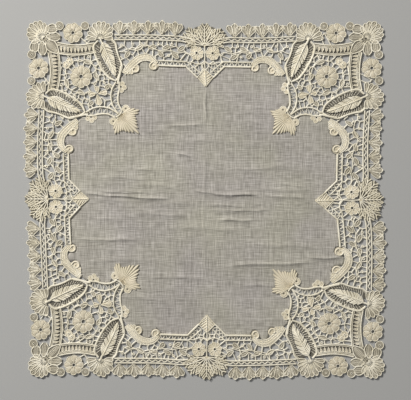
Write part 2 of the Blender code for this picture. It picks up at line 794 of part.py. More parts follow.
def make_lawn():
    raised = []
    for ax, ay, bx, by, _, half_width in CREASES:
        one, two = Vector((ax, ay)), Vector((bx, by))
        across = Vector((two.y - one.y, one.x - two.x)).normalized() * half_width
        for shift in (-1, 0, 1):
            shares = (0.0, 0.2, 0.8, 1.0) if shift == 0 else (0.0, 1.0)
            line = [tuple(one + (two - one) * t + across * shift) for t in shares]
            raised.append((line, 0.0))
    outline = grown(lawn_outline(), -GAP)
    return sheet("lawn_centre", outline, [], raised, LAWN, LAWN_THREAD, crease_height)


for old in list(bpy.data.objects):
    bpy.data.objects.remove(old)

CLOTH = bpy.data.collections.new("lace_handkerchief")
bpy.context.scene.collection.children.link(CLOTH)
BOX_MIDDLE = box_middle()
LAWN_THREAD = finish("lawn", (0.38, 0.36, 0.31), 0.8)
LACE_THREAD = finish("lace", (0.66, 0.60, 0.48), 0.8)
PADDED_THREAD = finish("padded_work", (0.76, 0.70, 0.55), 0.8)

make_lawn()
for number in range(4):
    make_side(number)
    make_corner(number)
    make_leaf(number, False)
    make_leaf(number, True)
    make_flower(f"corner_flower_{CORNER_NAMES[number]}", number, INNER_FLOWER)
    make_flower(f"edge_flower_{CORNER_NAMES[number]}_a", number, EDGE_FLOWER)
    make_flower(f"edge_flower_{CORNER_NAMES[number]}_b", number, EDGE_FLOWER, True)
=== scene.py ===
import math
import random

import bmesh
import bpy
import numpy as np
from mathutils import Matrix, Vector
from mathutils.geometry import delaunay_2d_cdt


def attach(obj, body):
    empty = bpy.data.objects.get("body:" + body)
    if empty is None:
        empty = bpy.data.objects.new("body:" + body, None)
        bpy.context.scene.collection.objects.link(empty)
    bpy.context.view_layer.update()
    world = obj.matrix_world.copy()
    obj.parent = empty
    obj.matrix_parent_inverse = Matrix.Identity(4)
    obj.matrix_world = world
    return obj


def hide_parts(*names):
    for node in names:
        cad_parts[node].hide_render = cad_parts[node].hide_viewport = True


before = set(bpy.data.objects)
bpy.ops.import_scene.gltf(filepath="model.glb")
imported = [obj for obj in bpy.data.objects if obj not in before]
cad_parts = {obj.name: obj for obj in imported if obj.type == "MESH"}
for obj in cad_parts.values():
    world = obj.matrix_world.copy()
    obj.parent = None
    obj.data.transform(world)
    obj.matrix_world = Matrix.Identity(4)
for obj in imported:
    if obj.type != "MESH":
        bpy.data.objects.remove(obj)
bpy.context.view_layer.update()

MM = 0.001
PHOTO_ACROSS = 411  # pixels
PIXEL = 0.925  # millimetres, worked out from the size of such handkerchiefs


def both_ways(half):
    """The petals of a fan, as (turn from its axis, length), from one half of it."""
    return [(-turn, length) for turn, length in reversed(half[1:])] + list(half)


# The square, drawn in millimetres: a side as (along, deep), a corner as (a, b)
HALF = 165.0
MIDDLE_FAN = (0.0, 21.3)
FIRST_TULIP = 27.0
TULIP_PITCH = 12.8
TULIPS = 5
FOOTINGS = (13.3, 17.6)
INNER_CORD = 36.4
LAWN_CORD = 40.9
SIDE_ROSETTE = (7.4, 28.4, 6.4)
SEAM = ((82.8, 17.4), (79.6, 25.6), (77.2, 33.5), (74.0, 40.6), (75.6, 48.8), (77.2, 54.0))
SCROLL = (
    (44.2, 39.6), (48.2, 35.2), (53.8, 33.8), (59.4, 34.9),
    (64.2, 38.6), (69.0, 43.4), (73.6, 48.8),
)
SCROLL_WIDTHS = (1.6, 2.6, 3.1, 3.2, 3.1, 2.8, 1.8)
CURL_A = (46.2, 42.0)
CURL_B = (63.2, 44.8)
CURL_RADIUS = 4.7
LOZENGE = ((43.4, 0.3), (50.6, 7.4), (59.4, 0.3))  # deep, half width
LOZENGE_VEINS = (
    ((0.0, 49.0), (3.2, 46.6)),
    ((0.0, 51.6), (4.8, 48.4)),
    ((0.0, 54.0), (6.0, 50.2)),
    ((0.0, 56.2), (4.6, 52.8)),
    ((0.0, 58.0), (2.6, 55.8)),
)

SHELL_ROOT = (16.4, 16.4)
RINGS = ((31.0, 4.9, 3.7), (54.8, 4.9, 3.5))
EDGE_FLOWER = (43.5, 11.4, 9.2)
EAR_FAN = (69.2, 17.2)
INNER_FLOWER = (51.5, 51.5, 10.3)
QUATREFOIL = (67.0, 67.0)
PALMETTE = (86.7, 86.7)
LEAF_VEIN = (
    (71.2, 20.6), (73.4, 25.6), (75.9, 31.2), (78.4, 37.0),
    (80.9, 43.0), (82.8, 48.6), (84.0, 52.6),
)
LEAF_WIDTHS = (2.0, 5.2, 5.7, 5.1, 4.0, 2.8, 0.7)
EAR_LEFT = (
    (66.8, 18.4), (63.2, 23.0), (63.4, 28.4), (65.2, 34.0),
    (68.6, 41.0), (72.8, 47.6), (78.0, 53.0), (84.4, 55.4),
)
EAR_RIGHT = (
    (80.2, 17.6), (83.4, 21.4), (84.4, 26.6), (86.4, 33.0),
    (89.2, 38.8), (89.8, 43.0), (88.0, 49.0), (84.6, 55.0),
)
FRAME_OUTER = ((29.0, 20.2), (37.0, 21.8), (46.0, 22.6), (54.0, 22.2), (63.6, 20.6))
FRAME_INNER = ((30.2, 30.4), (38.0, 31.4), (46.0, 31.8), (55.0, 31.2), (65.6, 29.2))
ARC_CORD = ((84.2, 56.4), (80.6, 62.6), (79.2, 70.0), (80.8, 78.0), (85.4, 85.4))
LAWN_ARC = ((87.4, 56.4), (87.2, 63.0), (85.8, 69.4), (86.0, 76.4), (89.0, 82.6))
ARC_JOIN = ((88.6, 83.2), (87.4, 85.4), (86.4, 86.4), (85.4, 87.4), (83.2, 88.6))
CORNER_STEM = (
    (45.0, 34.4), (50.0, 37.6), (55.6, 36.2), (61.6, 39.8),
    (65.4, 46.0), (66.6, 55.0), (64.0, 60.4),
)

# Feathers of the middle fan: turn from its axis in degrees, length, width, and where its barbs start
MIDDLE_FAN_FEATHERS = (
    (0, 22.0, 12.6, 0.2),
    (25, 20.6, 8.6, 0.36),
    (47, 24.2, 9.4, 0.32),
    (66, 23.8, 8.6, 0.36),
    (84, 18.4, 6.4, 0.4),
)

# Petals of each fan: turn from its axis in degrees, and length
EAR_FAN_PETALS = (
    (-84, 13.6),
    (-62, 13.6),
    (-42, 14.8),
    (-23, 15.6),
    (-6, 16.4),
    (11, 16.8),
    (28, 16.2),
    (46, 15.4),
    (64, 12.8),
    (84, 11.8),
)
PALMETTE_PETALS = both_ways((
    (0, 23.8), (8.5, 20.4), (17, 17.6), (25.5, 16.2), (34, 14.8),
    (42.5, 14.8), (51, 17.2), (59.5, 18.0), (68, 15.2), (76.5, 11.8),
))
TULIP_PETALS = both_ways(((0, 12.9), (27, 11.9)))
SHELL_PETALS = both_ways(((0, 18.3), (15.5, 17.8), (31, 16.4), (47, 14.2), (64, 12.0)))

# A flower's petals, and the outline of one: turn from its axis in degrees, share of the radius
FLOWER_PETALS = 8
PETAL_OUTLINE = ((-20, 0.4), (-19, 0.88), (-9, 0.98), (0, 1.0), (9, 0.98), (19, 0.88), (20, 0.4))

# Sprigs in the net: along, deep, length, turn in degrees
SPRIGS = (
    (21.5, 24.5, 6.0, 35),
    (27.0, 31.5, 6.0, -35),
    (35.5, 24.0, 6.0, 25),
    (40.5, 30.6, 5.0, -50),
    (48.0, 24.4, 6.0, 10),
    (60.0, 25.0, 6.0, 35),
    (70.5, 31.0, 6.0, 60),
)
STEM = (
    (13.0, 30.5), (18.0, 27.6), (24.6, 28.6), (31.0, 27.0), (38.0, 27.4), (44.6, 26.6),
    (52.0, 23.4), (57.0, 23.0), (65.0, 26.8), (71.0, 26.4), (76.0, 29.0),
)
DOTS = ((16.6, 22.0), (30.2, 21.2), (33.4, 31.4), (43.0, 21.4), (54.4, 20.8), (66.0, 21.8), (76.4, 22.6))
CORNER_SPRIGS = (
    (57.6, 38.0, 7.0, 15),
    (66.0, 51.5, 6.0, 60),
    (76.0, 61.0, 4.0, -40),
)
SMALL_ROSETTE = (40.6, 37.6, 3.4)

# How the cloth lies out of true: side, along it, in from its edge, shift east, shift north
LIE = (
    (0, -145, 20, -0.5, 0.5),
    (0, -121, 11, -1.5, 0.5),
    (0, -96, 17, -1.0, 0.0),
    (0, -77, 57, -3.5, 0.5),
    (0, -50, 0, 0.0, 0.5),
    (0, 0, 0, -1.0, -2.6),
    (0, 0, 21, -1.5, -1.0),
    (0, 0, 57, 0.5, -1.5),
    (0, 30, 0, 0.0, -2.5),
    (0, 50, 0, 0.0, -4.0),
    (0, 78, 0, 0.0, -2.5),
    (0, 77, 57, -2.5, -1.5),
    (0, 96, 17, -1.0, 0.5),
    (0, 121, 11, -1.0, 0.0),
    (0, -113, 51, -1.5, 0.0),
    (0, -78, 87, 1.0, -1.0),
    (1, -145, 20, 0.0, 0.0),
    (1, -121, 11, 0.0, 0.0),
    (1, -96, 17, 1.5, -1.5),
    (1, -77, 57, -3.0, 0.0),
    (1, -50, 0, -2.5, 0.0),
    (1, 0, 21, -1.0, -0.5),
    (1, 0, 57, -5.5, -1.5),
    (1, 26, 0, 2.5, 0.0),
    (1, 50, 0, 3.0, 0.0),
    (1, 75, 0, 2.0, 0.0),
    (1, 77, 57, -0.5, -4.5),
    (1, 96, 17, 1.5, -1.0),
    (1, 121, 11, 1.0, 0.0),
    (1, -113, 51, -2.5, 0.5),
    (1, -78, 87, 1.0, -2.0),
    (2, -145, 20, 0.5, -1.5),
    (2, -121, 11, 1.0, -0.5),
    (2, -96, 17, 1.5, 1.0),
    (2, -77, 57, -2.5, -3.0),
    (2, -50, 0, 0.0, -2.0),
    (2, 0, 21, 1.5, -2.5),
    (2, 0, 57, 1.5, -1.0),
    (2, 50, 0, 0.0, 1.0),
    (2, 77, 57, 1.5, -1.5),
    (2, 96, 17, -2.5, 1.0),
    (2, 121, 11, 0.0, 1.0),
    (2, -113, 51, 1.5, -0.5),
    (2, -78, 87, 1.5, -3.5),
    (3, -145, 20, 1.0, 0.0),
    (3, -121, 11, 1.5, 1.5),
    (3, -96, 17, 2.5, 2.0),
    (3, -77, 57, 0.5, 3.5),
    (3, -50, 0, 0.0, 0.0),
    (3, 0, 0, -3.0, 0.5),
    (3, 0, 21, 0.0, 0.5),
    (3, 26, 0, -4.0, 0.0),
    (3, 0, 57, -3.0, 0.5),
    (3, 50, 0, -5.0, 0.0),
    (3, 72, 0, -2.5, 0.0),
    (3, 77, 57, -3.0, 0.0),
    (3, 96, 17, -1.0, -1.0),
    (3, 121, 11, 0.0, -0.5),
    (3, -113, 51, 1.0, 0.0),
    (3, -78, 87, 0.0, 2.0),
)
LIE_REACH = 22.0
BOX_MIDDLE = (-0.656, -0.6997)  # of the drawn square's box, moved to the origin

# Folds pressed into the lawn: from and to, east and north of the middle, height, half width
CREASES = (
    (-114.0, 6.6, -76.0, 3.2, 1.1, 1.3),
    (-88.0, 4.4, -31.0, 0.6, 1.3, 1.3),
    (-98.0, 8.6, -64.0, 6.0, 0.9, 1.3),
    (-28.0, 44.0, -11.0, 40.2, 1.0, 1.1),
    (8.0, 5.2, 52.0, 5.0, 1.4, 1.2),
    (52.0, 4.8, 100.0, 1.4, 0.6, 2.0),
    (24.0, -10.0, 60.0, -9.0, 0.8, 1.4),
    (11.0, -18.0, 46.0, -19.0, 0.9, 1.5),
    (0.8, 104.0, 0.8, 72.0, 0.8, 1.2),
    (0.4, 70.0, -0.4, -96.0, 0.3, 1.6),
    (-118.0, -36.4, -58.0, -36.8, 0.8, 1.8),
    (18.0, -60.2, 106.0, -57.4, 1.0, 1.7),
    (94.0, -53.6, 128.0, -53.2, 1.1, 1.5),
    (-38.0, 68.0, 2.0, 70.4, 0.7, 1.6),
    (-81.5, 9.4, -50.7, 6.4, 0.6, 1.2),
    (-10.6, 9.4, 14.1, 4.8, 0.8, 1.2),
    (-1.3, -4.4, 51.1, -6.0, 0.6, 1.3),
    (2.0, -9.0, 39.0, -10.6, 0.5, 1.3),
    (-108.0, 2.0, -60.0, -1.6, 0.5, 2.4),
    (-72.0, 14.6, -22.0, 12.4, 0.5, 2.6),
    (-46.0, -3.6, 2.0, -2.4, 0.5, 2.4),
    (44.0, 10.4, 96.0, 8.8, 0.5, 2.4),
    (-40.0, -24.0, 44.0, -28.0, 0.5, 3.2),
    (-110.0, -56.0, -54.0, -54.0, 0.5, 2.8),
    (-20.0, 56.0, 66.0, 52.0, 0.5, 3.0),
    (40.0, -40.0, 112.0, -44.0, 0.6, 2.8),
    (-96.0, 22.0, -48.0, 19.0, 0.5, 2.0),
    (-66.0, 30.0, -40.0, 26.0, 0.5, 1.6),
    (-70.0, -12.0, -10.0, -14.0, 0.5, 2.0),
    (-104.0, -16.0, -74.0, -19.0, 0.5, 1.8),
    (20.0, 28.0, 84.0, 31.0, 0.5, 2.2),
    (62.0, 16.0, 96.0, 12.0, 0.5, 1.8),
    (-60.0, -70.0, 10.0, -73.0, 0.5, 2.2),
    (30.0, -78.0, 92.0, -80.0, 0.5, 2.0),
    (-84.0, -88.0, -40.0, -92.0, 0.5, 2.0),
)

NET_PITCH = 5.0
SIDE_NAMES = ("north", "east", "south", "west")
CORNER_NAMES = ("north_west", "north_east", "south_east", "south_west")

# Heights above the surface and thicknesses, in millimetres
CLOTH_WORK = 0.75
CLOTH_THICK = 0.16
BAR_HEIGHT = 0.75
CORD_HEIGHT = 1.05
PADDED_FOOT = 0.25
LAWN_HEIGHT = 0.42
LAWN_THICK = 0.22

# Kinds of cloth work, in the order of its materials. The dark net kind also stands for painted shade under
# open work.
WORKED, NET_AND_SHADE, PADDED = 0, 1, 2


# The square


def side_place(side, points):
    """Points of a side, before the cloth lies out of true."""
    x, y = points[:, 0], HALF - points[:, 1]
    for _ in range(side):
        x, y = y, -x
    return np.stack([x, y], axis=1)


def corner_place(corner, points):
    """Points of a corner, before the cloth lies out of true."""
    return side_place(corner, points - np.array((HALF, 0.0)))


def corner_placer(corner, mirror):
    """How the points of one half of a corner are placed."""
    return lambda points: corner_place(corner, swapped(points) if mirror else points)


def flipped(points):
    """The other half of a side."""
    return points * np.array((-1.0, 1.0))


def swapped(points):
    """The other half of a corner."""
    return points[:, ::-1]


def unturned(points):
    return points


def lie_rows():
    """The places in the square where the lie is known, and the shift of each."""
    places = [side_place(row[0], np.array([row[1:3]], float))[0] for row in LIE]
    return np.array(places), np.array([row[3:] for row in LIE])


LIE_PLACES, LIE_SHIFTS = lie_rows()


def lain(points):
    """The points where the cloth really lies, with the middle of its box at the origin."""
    away = ((points[:, None, :] - LIE_PLACES[None]) ** 2).sum(axis=2)
    near = np.exp(-away / (2 * LIE_REACH**2))
    shift = near @ LIE_SHIFTS / (near.sum(axis=1, keepdims=True) + 0.15)
    return points + shift - np.array(BOX_MIDDLE)


# Drawing


def polar(centre, degrees, radius):
    """The point a radius away from the centre."""
    turn = math.radians(degrees)
    return centre[0] + radius * math.cos(turn), centre[1] + radius * math.sin(turn)


def arc(centre, radius, first, last, steps):
    return [polar(centre, first + (last - first) * i / steps, radius) for i in range(steps + 1)]


def flowing(points, step=1.2, closed=False):
    """A smooth curve through the points, with a point about every step."""
    line = [np.array(p, float) for p in points]
    if closed:
        line = [line[-1]] + line + line[:2]
    else:
        line = [2 * line[0] - line[1]] + line + [2 * line[-1] - line[-2]]
    found = []
    for a, b, c, d in zip(line, line[1:], line[2:], line[3:]):
        count = max(1, round(float(np.linalg.norm(c - b)) / step))
        for i in range(count):
            t = i / count
            square = (2 * a - 5 * b + 4 * c - d) * t**2
            cube = (3 * b - a - 3 * c + d) * t**3
            found.append(0.5 * (2 * b + (c - a) * t + square + cube))
    if not closed:
        found.append(line[-2])
    return np.array(found)


def sideways(route):
    """Unit vectors square to a route."""
    ahead = np.gradient(route, axis=0)
    ahead /= np.linalg.norm(ahead, axis=1, keepdims=True) + 1e-9
    return np.stack([-ahead[:, 1], ahead[:, 0]], axis=1)


def beside(points, away):
    """The route that runs a distance beside another."""
    route = flowing(points, 2.0)
    return route + sideways(route) * away


def bar_ends(along, deep, length, turn):
    """The two ends of a straight line about its middle."""
    return polar((along, deep), turn, length / 2), polar((along, deep), turn + 180, length / 2)


# The net of bars


def nearest(core, point):
    """The point of a straight line that lies nearest."""
    one, two = core
    line = two - one
    share = (point - one).dot(line) / line.length_squared if line.length_squared else 0.0
    return one + line * min(1.0, max(0.0, share))


def clipped(loop, foot, normal):
    """What is left of a loop behind a straight cut."""
    kept = []
    for p, q in zip(loop, loop[1:] + loop[:1]):
        here, there = (p - foot).dot(normal), (q - foot).dot(normal)
        if here <= 0:
            kept.append(p)
        if here * there < 0:
            kept.append(p + (q - p) * (here / (here - there)))
    return kept


def cell(seed, others, blocks):
    """The hole round one seed: half way to each other seed, and clear of every block."""
    reach = 1.4 * NET_PITCH
    loop = [seed + Vector(c) * reach for c in ((-1, -1), (1, -1), (1, 1), (-1, 1))]
    for other in others:
        between = other - seed
        if 0 < between.length < 3 * reach:
            loop = clipped(loop, seed + between / 2, between.normalized())
    for core, radius in blocks:
        foot = nearest(core, seed)
        away = foot - seed
        if 1e-6 < away.length < 3 * reach:
            away.normalize()
            loop = clipped(loop, foot - away * radius, away)
    return loop


def inside(loop, point):
    x, y = point
    crossed = False
    for (ax, ay), (bx, by) in zip(loop, loop[1:] + loop[:1]):
        if (ay > y) != (by > y) and x < (bx - ax) * (y - ay) / (by - ay) + ax:
            crossed = not crossed
    return crossed


def net_bars(region, blocks, number):
    """The bars of the net in a region: the edges of cells round seeds that are evened out."""
    chance = random.Random(number)
    low = [min(p[i] for p in region) for i in (0, 1)]
    high = [max(p[i] for p in region) for i in (0, 1)]
    blocks = [((Vector(core[0]), Vector(core[1])), radius) for core, radius in blocks]

    def free(seed):
        clear = all((nearest(core, seed) - seed).length > radius + 0.5 for core, radius in blocks)
        return clear and inside(region, seed)

    seeds = []
    for row in range(int((high[1] - low[1]) / (0.87 * NET_PITCH)) + 2):
        for column in range(int((high[0] - low[0]) / NET_PITCH) + 2):
            along = low[0] + (column + 0.5 * (row % 2) + chance.uniform(-0.34, 0.34)) * NET_PITCH
            deep = low[1] + (row + chance.uniform(-0.34, 0.34)) * 0.87 * NET_PITCH
            seeds.append(Vector((along, deep)))
    seeds = [seed for seed in seeds if free(seed)]
    for _ in range(2):
        cells = [cell(seed, seeds, blocks) for seed in seeds]
        seeds = [
            sum(loop, Vector((0, 0))) / len(loop) if len(loop) > 2 else seed
            for loop, seed in zip(cells, seeds)
        ]
    found = {}
    for loop in (cell(seed, seeds, blocks) for seed in seeds):
        for p, q in zip(loop, loop[1:] + loop[:1]):
            centre = (p + q) / 2
            touching = any((nearest(core, centre) - centre).length < radius + 0.25 for core, radius in blocks)
            if (q - p).length > 0.7 and not touching and inside(region, centre):
                found.setdefault((round(centre.x * 2), round(centre.y * 2)), (p, q))
    return list(found.values())


# Lace as it is worked


class Lace:
    """One piece of lace: cloth work, outline cords and fine bars, in the drawn frame."""

    def __init__(self, place, number):
        self.place = place
        self.turn = unturned
        self.chance = random.Random(number)
        self.cloth = []
        self.cords = []
        self.ribs = []
        self.bars = []

    def lay(self, points):
        """Drawn points where they lie in the square."""
        return lain(self.place(self.turn(np.array(points, float))))

    def cord(self, points, radius=0.48, height=CORD_HEIGHT, closed=False, step=1.2):
        """An outline cord along a smooth route."""
        route = self.lay(flowing(points, step, closed))
        radii = [radius * self.chance.uniform(0.9, 1.1) for _ in route]
        self.cords.append((route, radii, height, closed))

    def rib(self, points, thin, thick, height=CORD_HEIGHT):
        """A softer thread that thickens from one end of a route to the other."""
        route = self.lay(flowing(points, 1.6))
        self.ribs.append((route, list(np.linspace(thin, thick, len(route))), height, False))

    def bar(self, start, end, radius=0.24, height=BAR_HEIGHT, knot=0.0):
        """A straight bar of fine thread, with a knot in its middle if one is wanted."""
        route = self.lay([start, end])
        if knot:
            middle = (route[0] + route[1]) / 2
            along = (route[1] - route[0]) / 8
            route = np.array([route[0], middle - along, middle, middle + along, route[1]])
            self.bars.append((route, [radius, radius, knot, radius, radius], height, False))
        else:
            self.bars.append((route, [radius, radius], height, False))

    def pad(self, route, widths, crown=0.3, kind=WORKED):
        """Cloth work along a route: a closed strip with its widths and a low crown."""
        route = np.asarray(route, float)
        across = sideways(route)
        widths = np.asarray(widths, float)[:, None]
        # Share of the width, share of the crown, or None for the underside, and painted groove shade
        lines = (
            (-1, 0.0, 1.0),
            (-0.6, 0.7, 0.2),
            (0, 1.0, 0.0),
            (0.6, 0.7, 0.2),
            (1, 0.0, 1.0),
            (0.5, None, 1.0),
            (-0.5, None, 1.0),
        )
        loops = []
        for share, rise, groove_shade in lines:
            flat = self.lay(route + across * widths * share)
            height = CLOTH_WORK - CLOTH_THICK if rise is None else CLOTH_WORK + crown * rise
            loops.append(np.column_stack([flat, np.full(len(flat), height), np.full(len(flat), groove_shade)]))
        self.cloth.append((np.array(loops), kind))

    def panel(self, one, two, kind=WORKED, base=CLOTH_WORK):
        """Flat cloth work between two routes with as many points."""
        loops = []
        for share, low in ((0.0, 0), (0.5, 0), (1.0, 0), (1.0, 1), (0.5, 1), (0.0, 1)):
            flat = self.lay(one + (two - one) * share)
            # Painted shade along both edges, none in the middle
            groove_shade = 0.0 if share == 0.5 else 0.6
            height = base - CLOTH_THICK * low
            loops.append(np.column_stack([flat, np.full(len(one), height), np.full(len(one), groove_shade)]))
        self.cloth.append((np.array(loops), kind))

    def petal(self, root, turn, length, width, crown, start, rib, edge):
        """A pointed petal of cloth work with a cord round it and ribs down it."""
        shares = np.linspace(start, 1.0, 9)
        inner = np.clip((shares - start) / (1 - start), 0, 1)
        widths = 0.5 * width * np.sin(math.pi * (0.08 + 0.88 * inner**0.8)) ** 0.8
        self.blade(root, turn, length, shares, widths, crown, rib, edge, WORKED)

    def lobe(self, root, turn, length, width, crown, start, rib, edge, kind=WORKED):
        """A lobe of a fan: it widens from the root and ends round."""
        shares = np.array((start, 0.3, 0.45, 0.6, 0.74, 0.84, 0.91, 0.96, 0.99, 1.0))
        rounding = np.sqrt(np.clip(1 - (np.clip(shares - 0.74, 0, 1) / 0.26) ** 2, 0, 1))
        widths = 0.5 * width * np.minimum(shares / 0.74, 1.0) * rounding + 0.12
        self.blade(root, turn, length, shares, widths, crown, rib, edge, kind)

    def blade(self, root, turn, length, shares, widths, crown, rib, edge, kind):
        """Cloth work about a straight line from the root, with its cord and its ribs."""
        start, tip = np.array(root), np.array(polar(root, turn, length))
        route = start + (tip - start) * shares[:, None]
        self.pad(route, widths - 0.1, crown, kind=kind)
        across = sideways(route)
        left, right = route + across * widths[:, None], route - across * widths[:, None]
        if edge:
            self.cord(np.concatenate([left[::2], right[::-2]]), edge, CORD_HEIGHT + 0.1, step=1.3)
        for share in np.linspace(-0.4, 0.4, rib) if rib > 1 else [0.0] * rib:
            line = route[1:-1] + across[1:-1] * widths[1:-1, None] * share
            self.cord(line[::2], 0.17, CLOTH_WORK + crown + 0.1, step=2.5)

    def ring(self, centre, radius, thick=0.4, height=CORD_HEIGHT):
        """A cord that runs round a centre."""
        self.cord(arc(centre, radius, 0, 360, 8)[:-1], thick, height, closed=True, step=1.0)

    def disc(self, centre, radius, crown, kind=PADDED):
        """A round of padded work: a strip that runs round its own middle."""
        self.pad(arc(centre, radius / 2, 0, 360, 14), [radius / 2] * 15, crown, kind=kind)

    def rosette(self, centre, radius, petals, turn=0.0):
        """A small flower of padded petals round an open eye."""
        for i in range(petals):
            width = 4.9 * radius / petals
            self.lobe(centre, turn + 360 / petals * i, radius, width, 0.5, 0.22, 0, 0.34, PADDED)
        self.ring(centre, 0.24 * radius, 0.42, CORD_HEIGHT + 0.35)

    def feather(self, root, turn, length, width, start):
        """A feather: barbs slant from a middle vein to both edges, over a dark ground of painted shade."""
        slant = math.radians(34)
        ahead = np.array(polar((0.0, 0.0), turn, 1.0))
        across = np.array((-ahead[1], ahead[0]))
        root = np.array(root)
        shares = np.linspace(0.06, 1.0, 12)

        def half_width(share):
            return 0.5 * width * math.sin(math.pi * (0.05 + 0.91 * min(max(share, 0.0), 1.0) ** 1.25)) ** 0.8

        vein = root + ahead * length * shares[:, None]
        ground = np.linspace(0.06, 0.93, 12)
        widths = [0.9 * half_width(share) for share in ground]
        # A dark sheet of painted shade between the barbs
        self.pad(root + ahead * length * ground[:, None], widths, 0.1, NET_AND_SHADE)
        barbs = round((0.92 - start) * length / 3.3)
        for side in (-1, 1):
            for i in range(barbs):
                gone = (start + (0.92 - start) * (i + self.chance.uniform(-0.1, 0.1)) / barbs) * length
                reach = 1.0
                while reach * math.sin(slant) < half_width((gone + reach * math.cos(slant)) / length):
                    reach += 0.25
                way = ahead * math.cos(slant) + across * side * math.sin(slant)
                foot = root + ahead * gone
                bend = foot + way * reach * 0.5 - ahead * 0.06 * reach
                self.rib([foot, bend, foot + way * reach], 0.4, 0.7)
        self.cord(vein[::3], 0.46, CORD_HEIGHT + 0.3, step=2.0)

    def fan_ground(self, root, axis, petals, share):
        """A dark sheet of painted shade under the inner part of a fan, with strands from its root between the
        petals.
        """
        near = np.array([polar(root, axis + turn, 0.8) for turn, _ in petals])
        far = np.array([polar(root, axis + turn, share * length) for turn, length in petals])
        self.panel(near, far, NET_AND_SHADE, CLOTH_WORK - 0.1)
        for (turn, length), (other, _) in zip(petals, petals[1:]):
            middle = axis + (turn + other) / 2
            strand = [polar(root, middle, 1.0), polar(root, middle, share * length)]
            self.cord(strand, 0.27, CORD_HEIGHT + 0.1, step=2.5)

    def zigzag(self, one, two, count, thick=0.34):
        """A thread that runs to and fro between two cords."""
        first, second = evened(one, count), evened(two, count)
        for i in range(count - 1):
            start, end = (first[i], second[i + 1]) if i % 2 else (second[i], first[i + 1])
            self.bar(start, end, thick)

    def net(self, region, blocks, number):
        """The ground of fine bars, some with a knot, run a little into what holds them."""
        for p, q in net_bars(region, blocks, number):
            along = (q - p).normalized() * 0.7
            knot = self.chance.choice((0.0, 0.0, 0.62, 0.75))
            self.bar(p - along, q + along, self.chance.uniform(0.42, 0.6), knot=knot)

    def finished(self, name, nodes):
        """The piece's mesh, made of its cloth work, cords and bars."""
        parts = [cloth_mesh(name + "_cloth", self.cloth)] if self.cloth else []
        parts.append(thread_mesh(name + "_cords", self.cords, 1, OUTLINE_CORD))
        if self.ribs:
            parts.append(thread_mesh(name + "_ribs", self.ribs, 1, RIB_THREAD))
        if self.bars:
            parts.append(thread_mesh(name + "_bars", self.bars, 0, BAR_THREAD))
        return joined(name, parts, nodes)


def skin(name, points, faces, materials, kinds, groove_shades):
    """A closed mesh with its normals outwards. Its groove shade, from 0 to 1, is painted shade: darker than
    what stands up.
    """
    data = bpy.data.meshes.new(name)
    data.from_pydata([tuple(p) for p in points], [], faces)
    for material in materials:
        data.materials.append(material)
    data.polygons.foreach_set("material_index", kinds)
    mesh = bmesh.new()
    mesh.from_mesh(data)
    bmesh.ops.recalc_face_normals(mesh, faces=mesh.faces)
    mesh.to_mesh(data)
    mesh.free()
    data.attributes.new("groove_shade", "FLOAT", "POINT").data.foreach_set("value", groove_shades)
    piece = bpy.data.objects.new(name, data)
    bpy.context.scene.collection.objects.link(piece)
    return piece


def cloth_mesh(name, strips):
    """Each strip is a few lines of points, joined into a closed skin."""
    points, faces, kinds, groove_shades = [], [], [], []
    for loops, kind in strips:
        first = len(points)
        sides, count = loops.shape[:2]
        points += [p[:3] * MM for line in loops for p in line]
        groove_shades += [p[3] for line in loops for p in line]
        for side in range(sides):
            other = (side + 1) % sides
            for i in range(count - 1):
                here, there = first + side * count + i, first + other * count + i
                faces.append((here, here + 1, there + 1, there))
        faces.append(tuple(first + side * count for side in range(sides)))
        faces.append(tuple(first + side * count + count - 1 for side in reversed(range(sides))))
        kinds += [kind] * (len(faces) - len(kinds))
    return skin(name, points, faces, (CLOTH_THREAD, NET_AND_SHADE_THREAD, PADDED_THREAD), kinds, groove_shades)


def only(*pieces):
    """Selects these pieces and nothing else, with the first one active."""
    bpy.ops.object.select_all(action="DESELECT")
    for piece in pieces:
        piece.select_set(True)
    bpy.context.view_layer.objects.active = pieces[0]


def thread_mesh(name, routes, sides, material):
    """Threads as bevelled curves, made one mesh."""
    curve = bpy.data.curves.new(name, "CURVE")
    curve.dimensions = "3D"
    curve.bevel_depth = MM
    curve.bevel_resolution = sides
    curve.use_fill_caps = True
    for route, radii, height, closed in routes:
        spline = curve.splines.new("POLY")
        spline.points.add(len(route) - 1)
        flat = np.column_stack([route * MM, np.full(len(route), height * MM), np.ones(len(route))])
        spline.points.foreach_set("co", flat.ravel())
        spline.points.foreach_set("radius", radii)
        spline.use_cyclic_u = closed
    curve.materials.append(material)
    piece = bpy.data.objects.new(name, curve)
    bpy.context.scene.collection.objects.link(piece)
    only(piece)
    bpy.ops.object.convert(target="MESH")
    return bpy.context.view_layer.objects.active


def joined(name, parts, nodes):
    """One smooth piece, which stands for its nodes and rides with the cloth."""
    only(*parts)
    if len(parts) > 1:
        bpy.ops.object.join()
    piece = parts[0]
    piece.name = name
    bpy.ops.object.shade_smooth_by_angle(angle=math.radians(50))
    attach(piece, "root")
    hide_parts(*nodes)
    return piece


# The side


def tulip(lace, centre):
    """A scallop of the edge: a cup of three lobes on one foot, and a loop beside it."""
    foot = (centre, FOOTINGS[0])
    droop = lace.chance.uniform(-0.5, 0.3)
    for turn, length in TULIP_PETALS:
        length += lace.chance.uniform(-0.4, 0.4) + droop
        turn += lace.chance.uniform(-2.0, 2.0)
        lace.lobe(foot, -90 + turn, length, 5.2, 0.3, 0.1, 1, 0.32)
        lace.ring(polar(foot, -90 + turn, length), 0.55, 0.26)
    between = centre + TULIP_PITCH / 2
    if between < SEAM[0][0]:
        loop = ((-1.9, 6.2), (-0.9, 4.4), (0.9, 4.4), (1.9, 6.2))
        lace.cord([(between + along, deep) for along, deep in loop], 0.4)
        lace.bar((between, 4.4), (between, 13.0), 0.24)


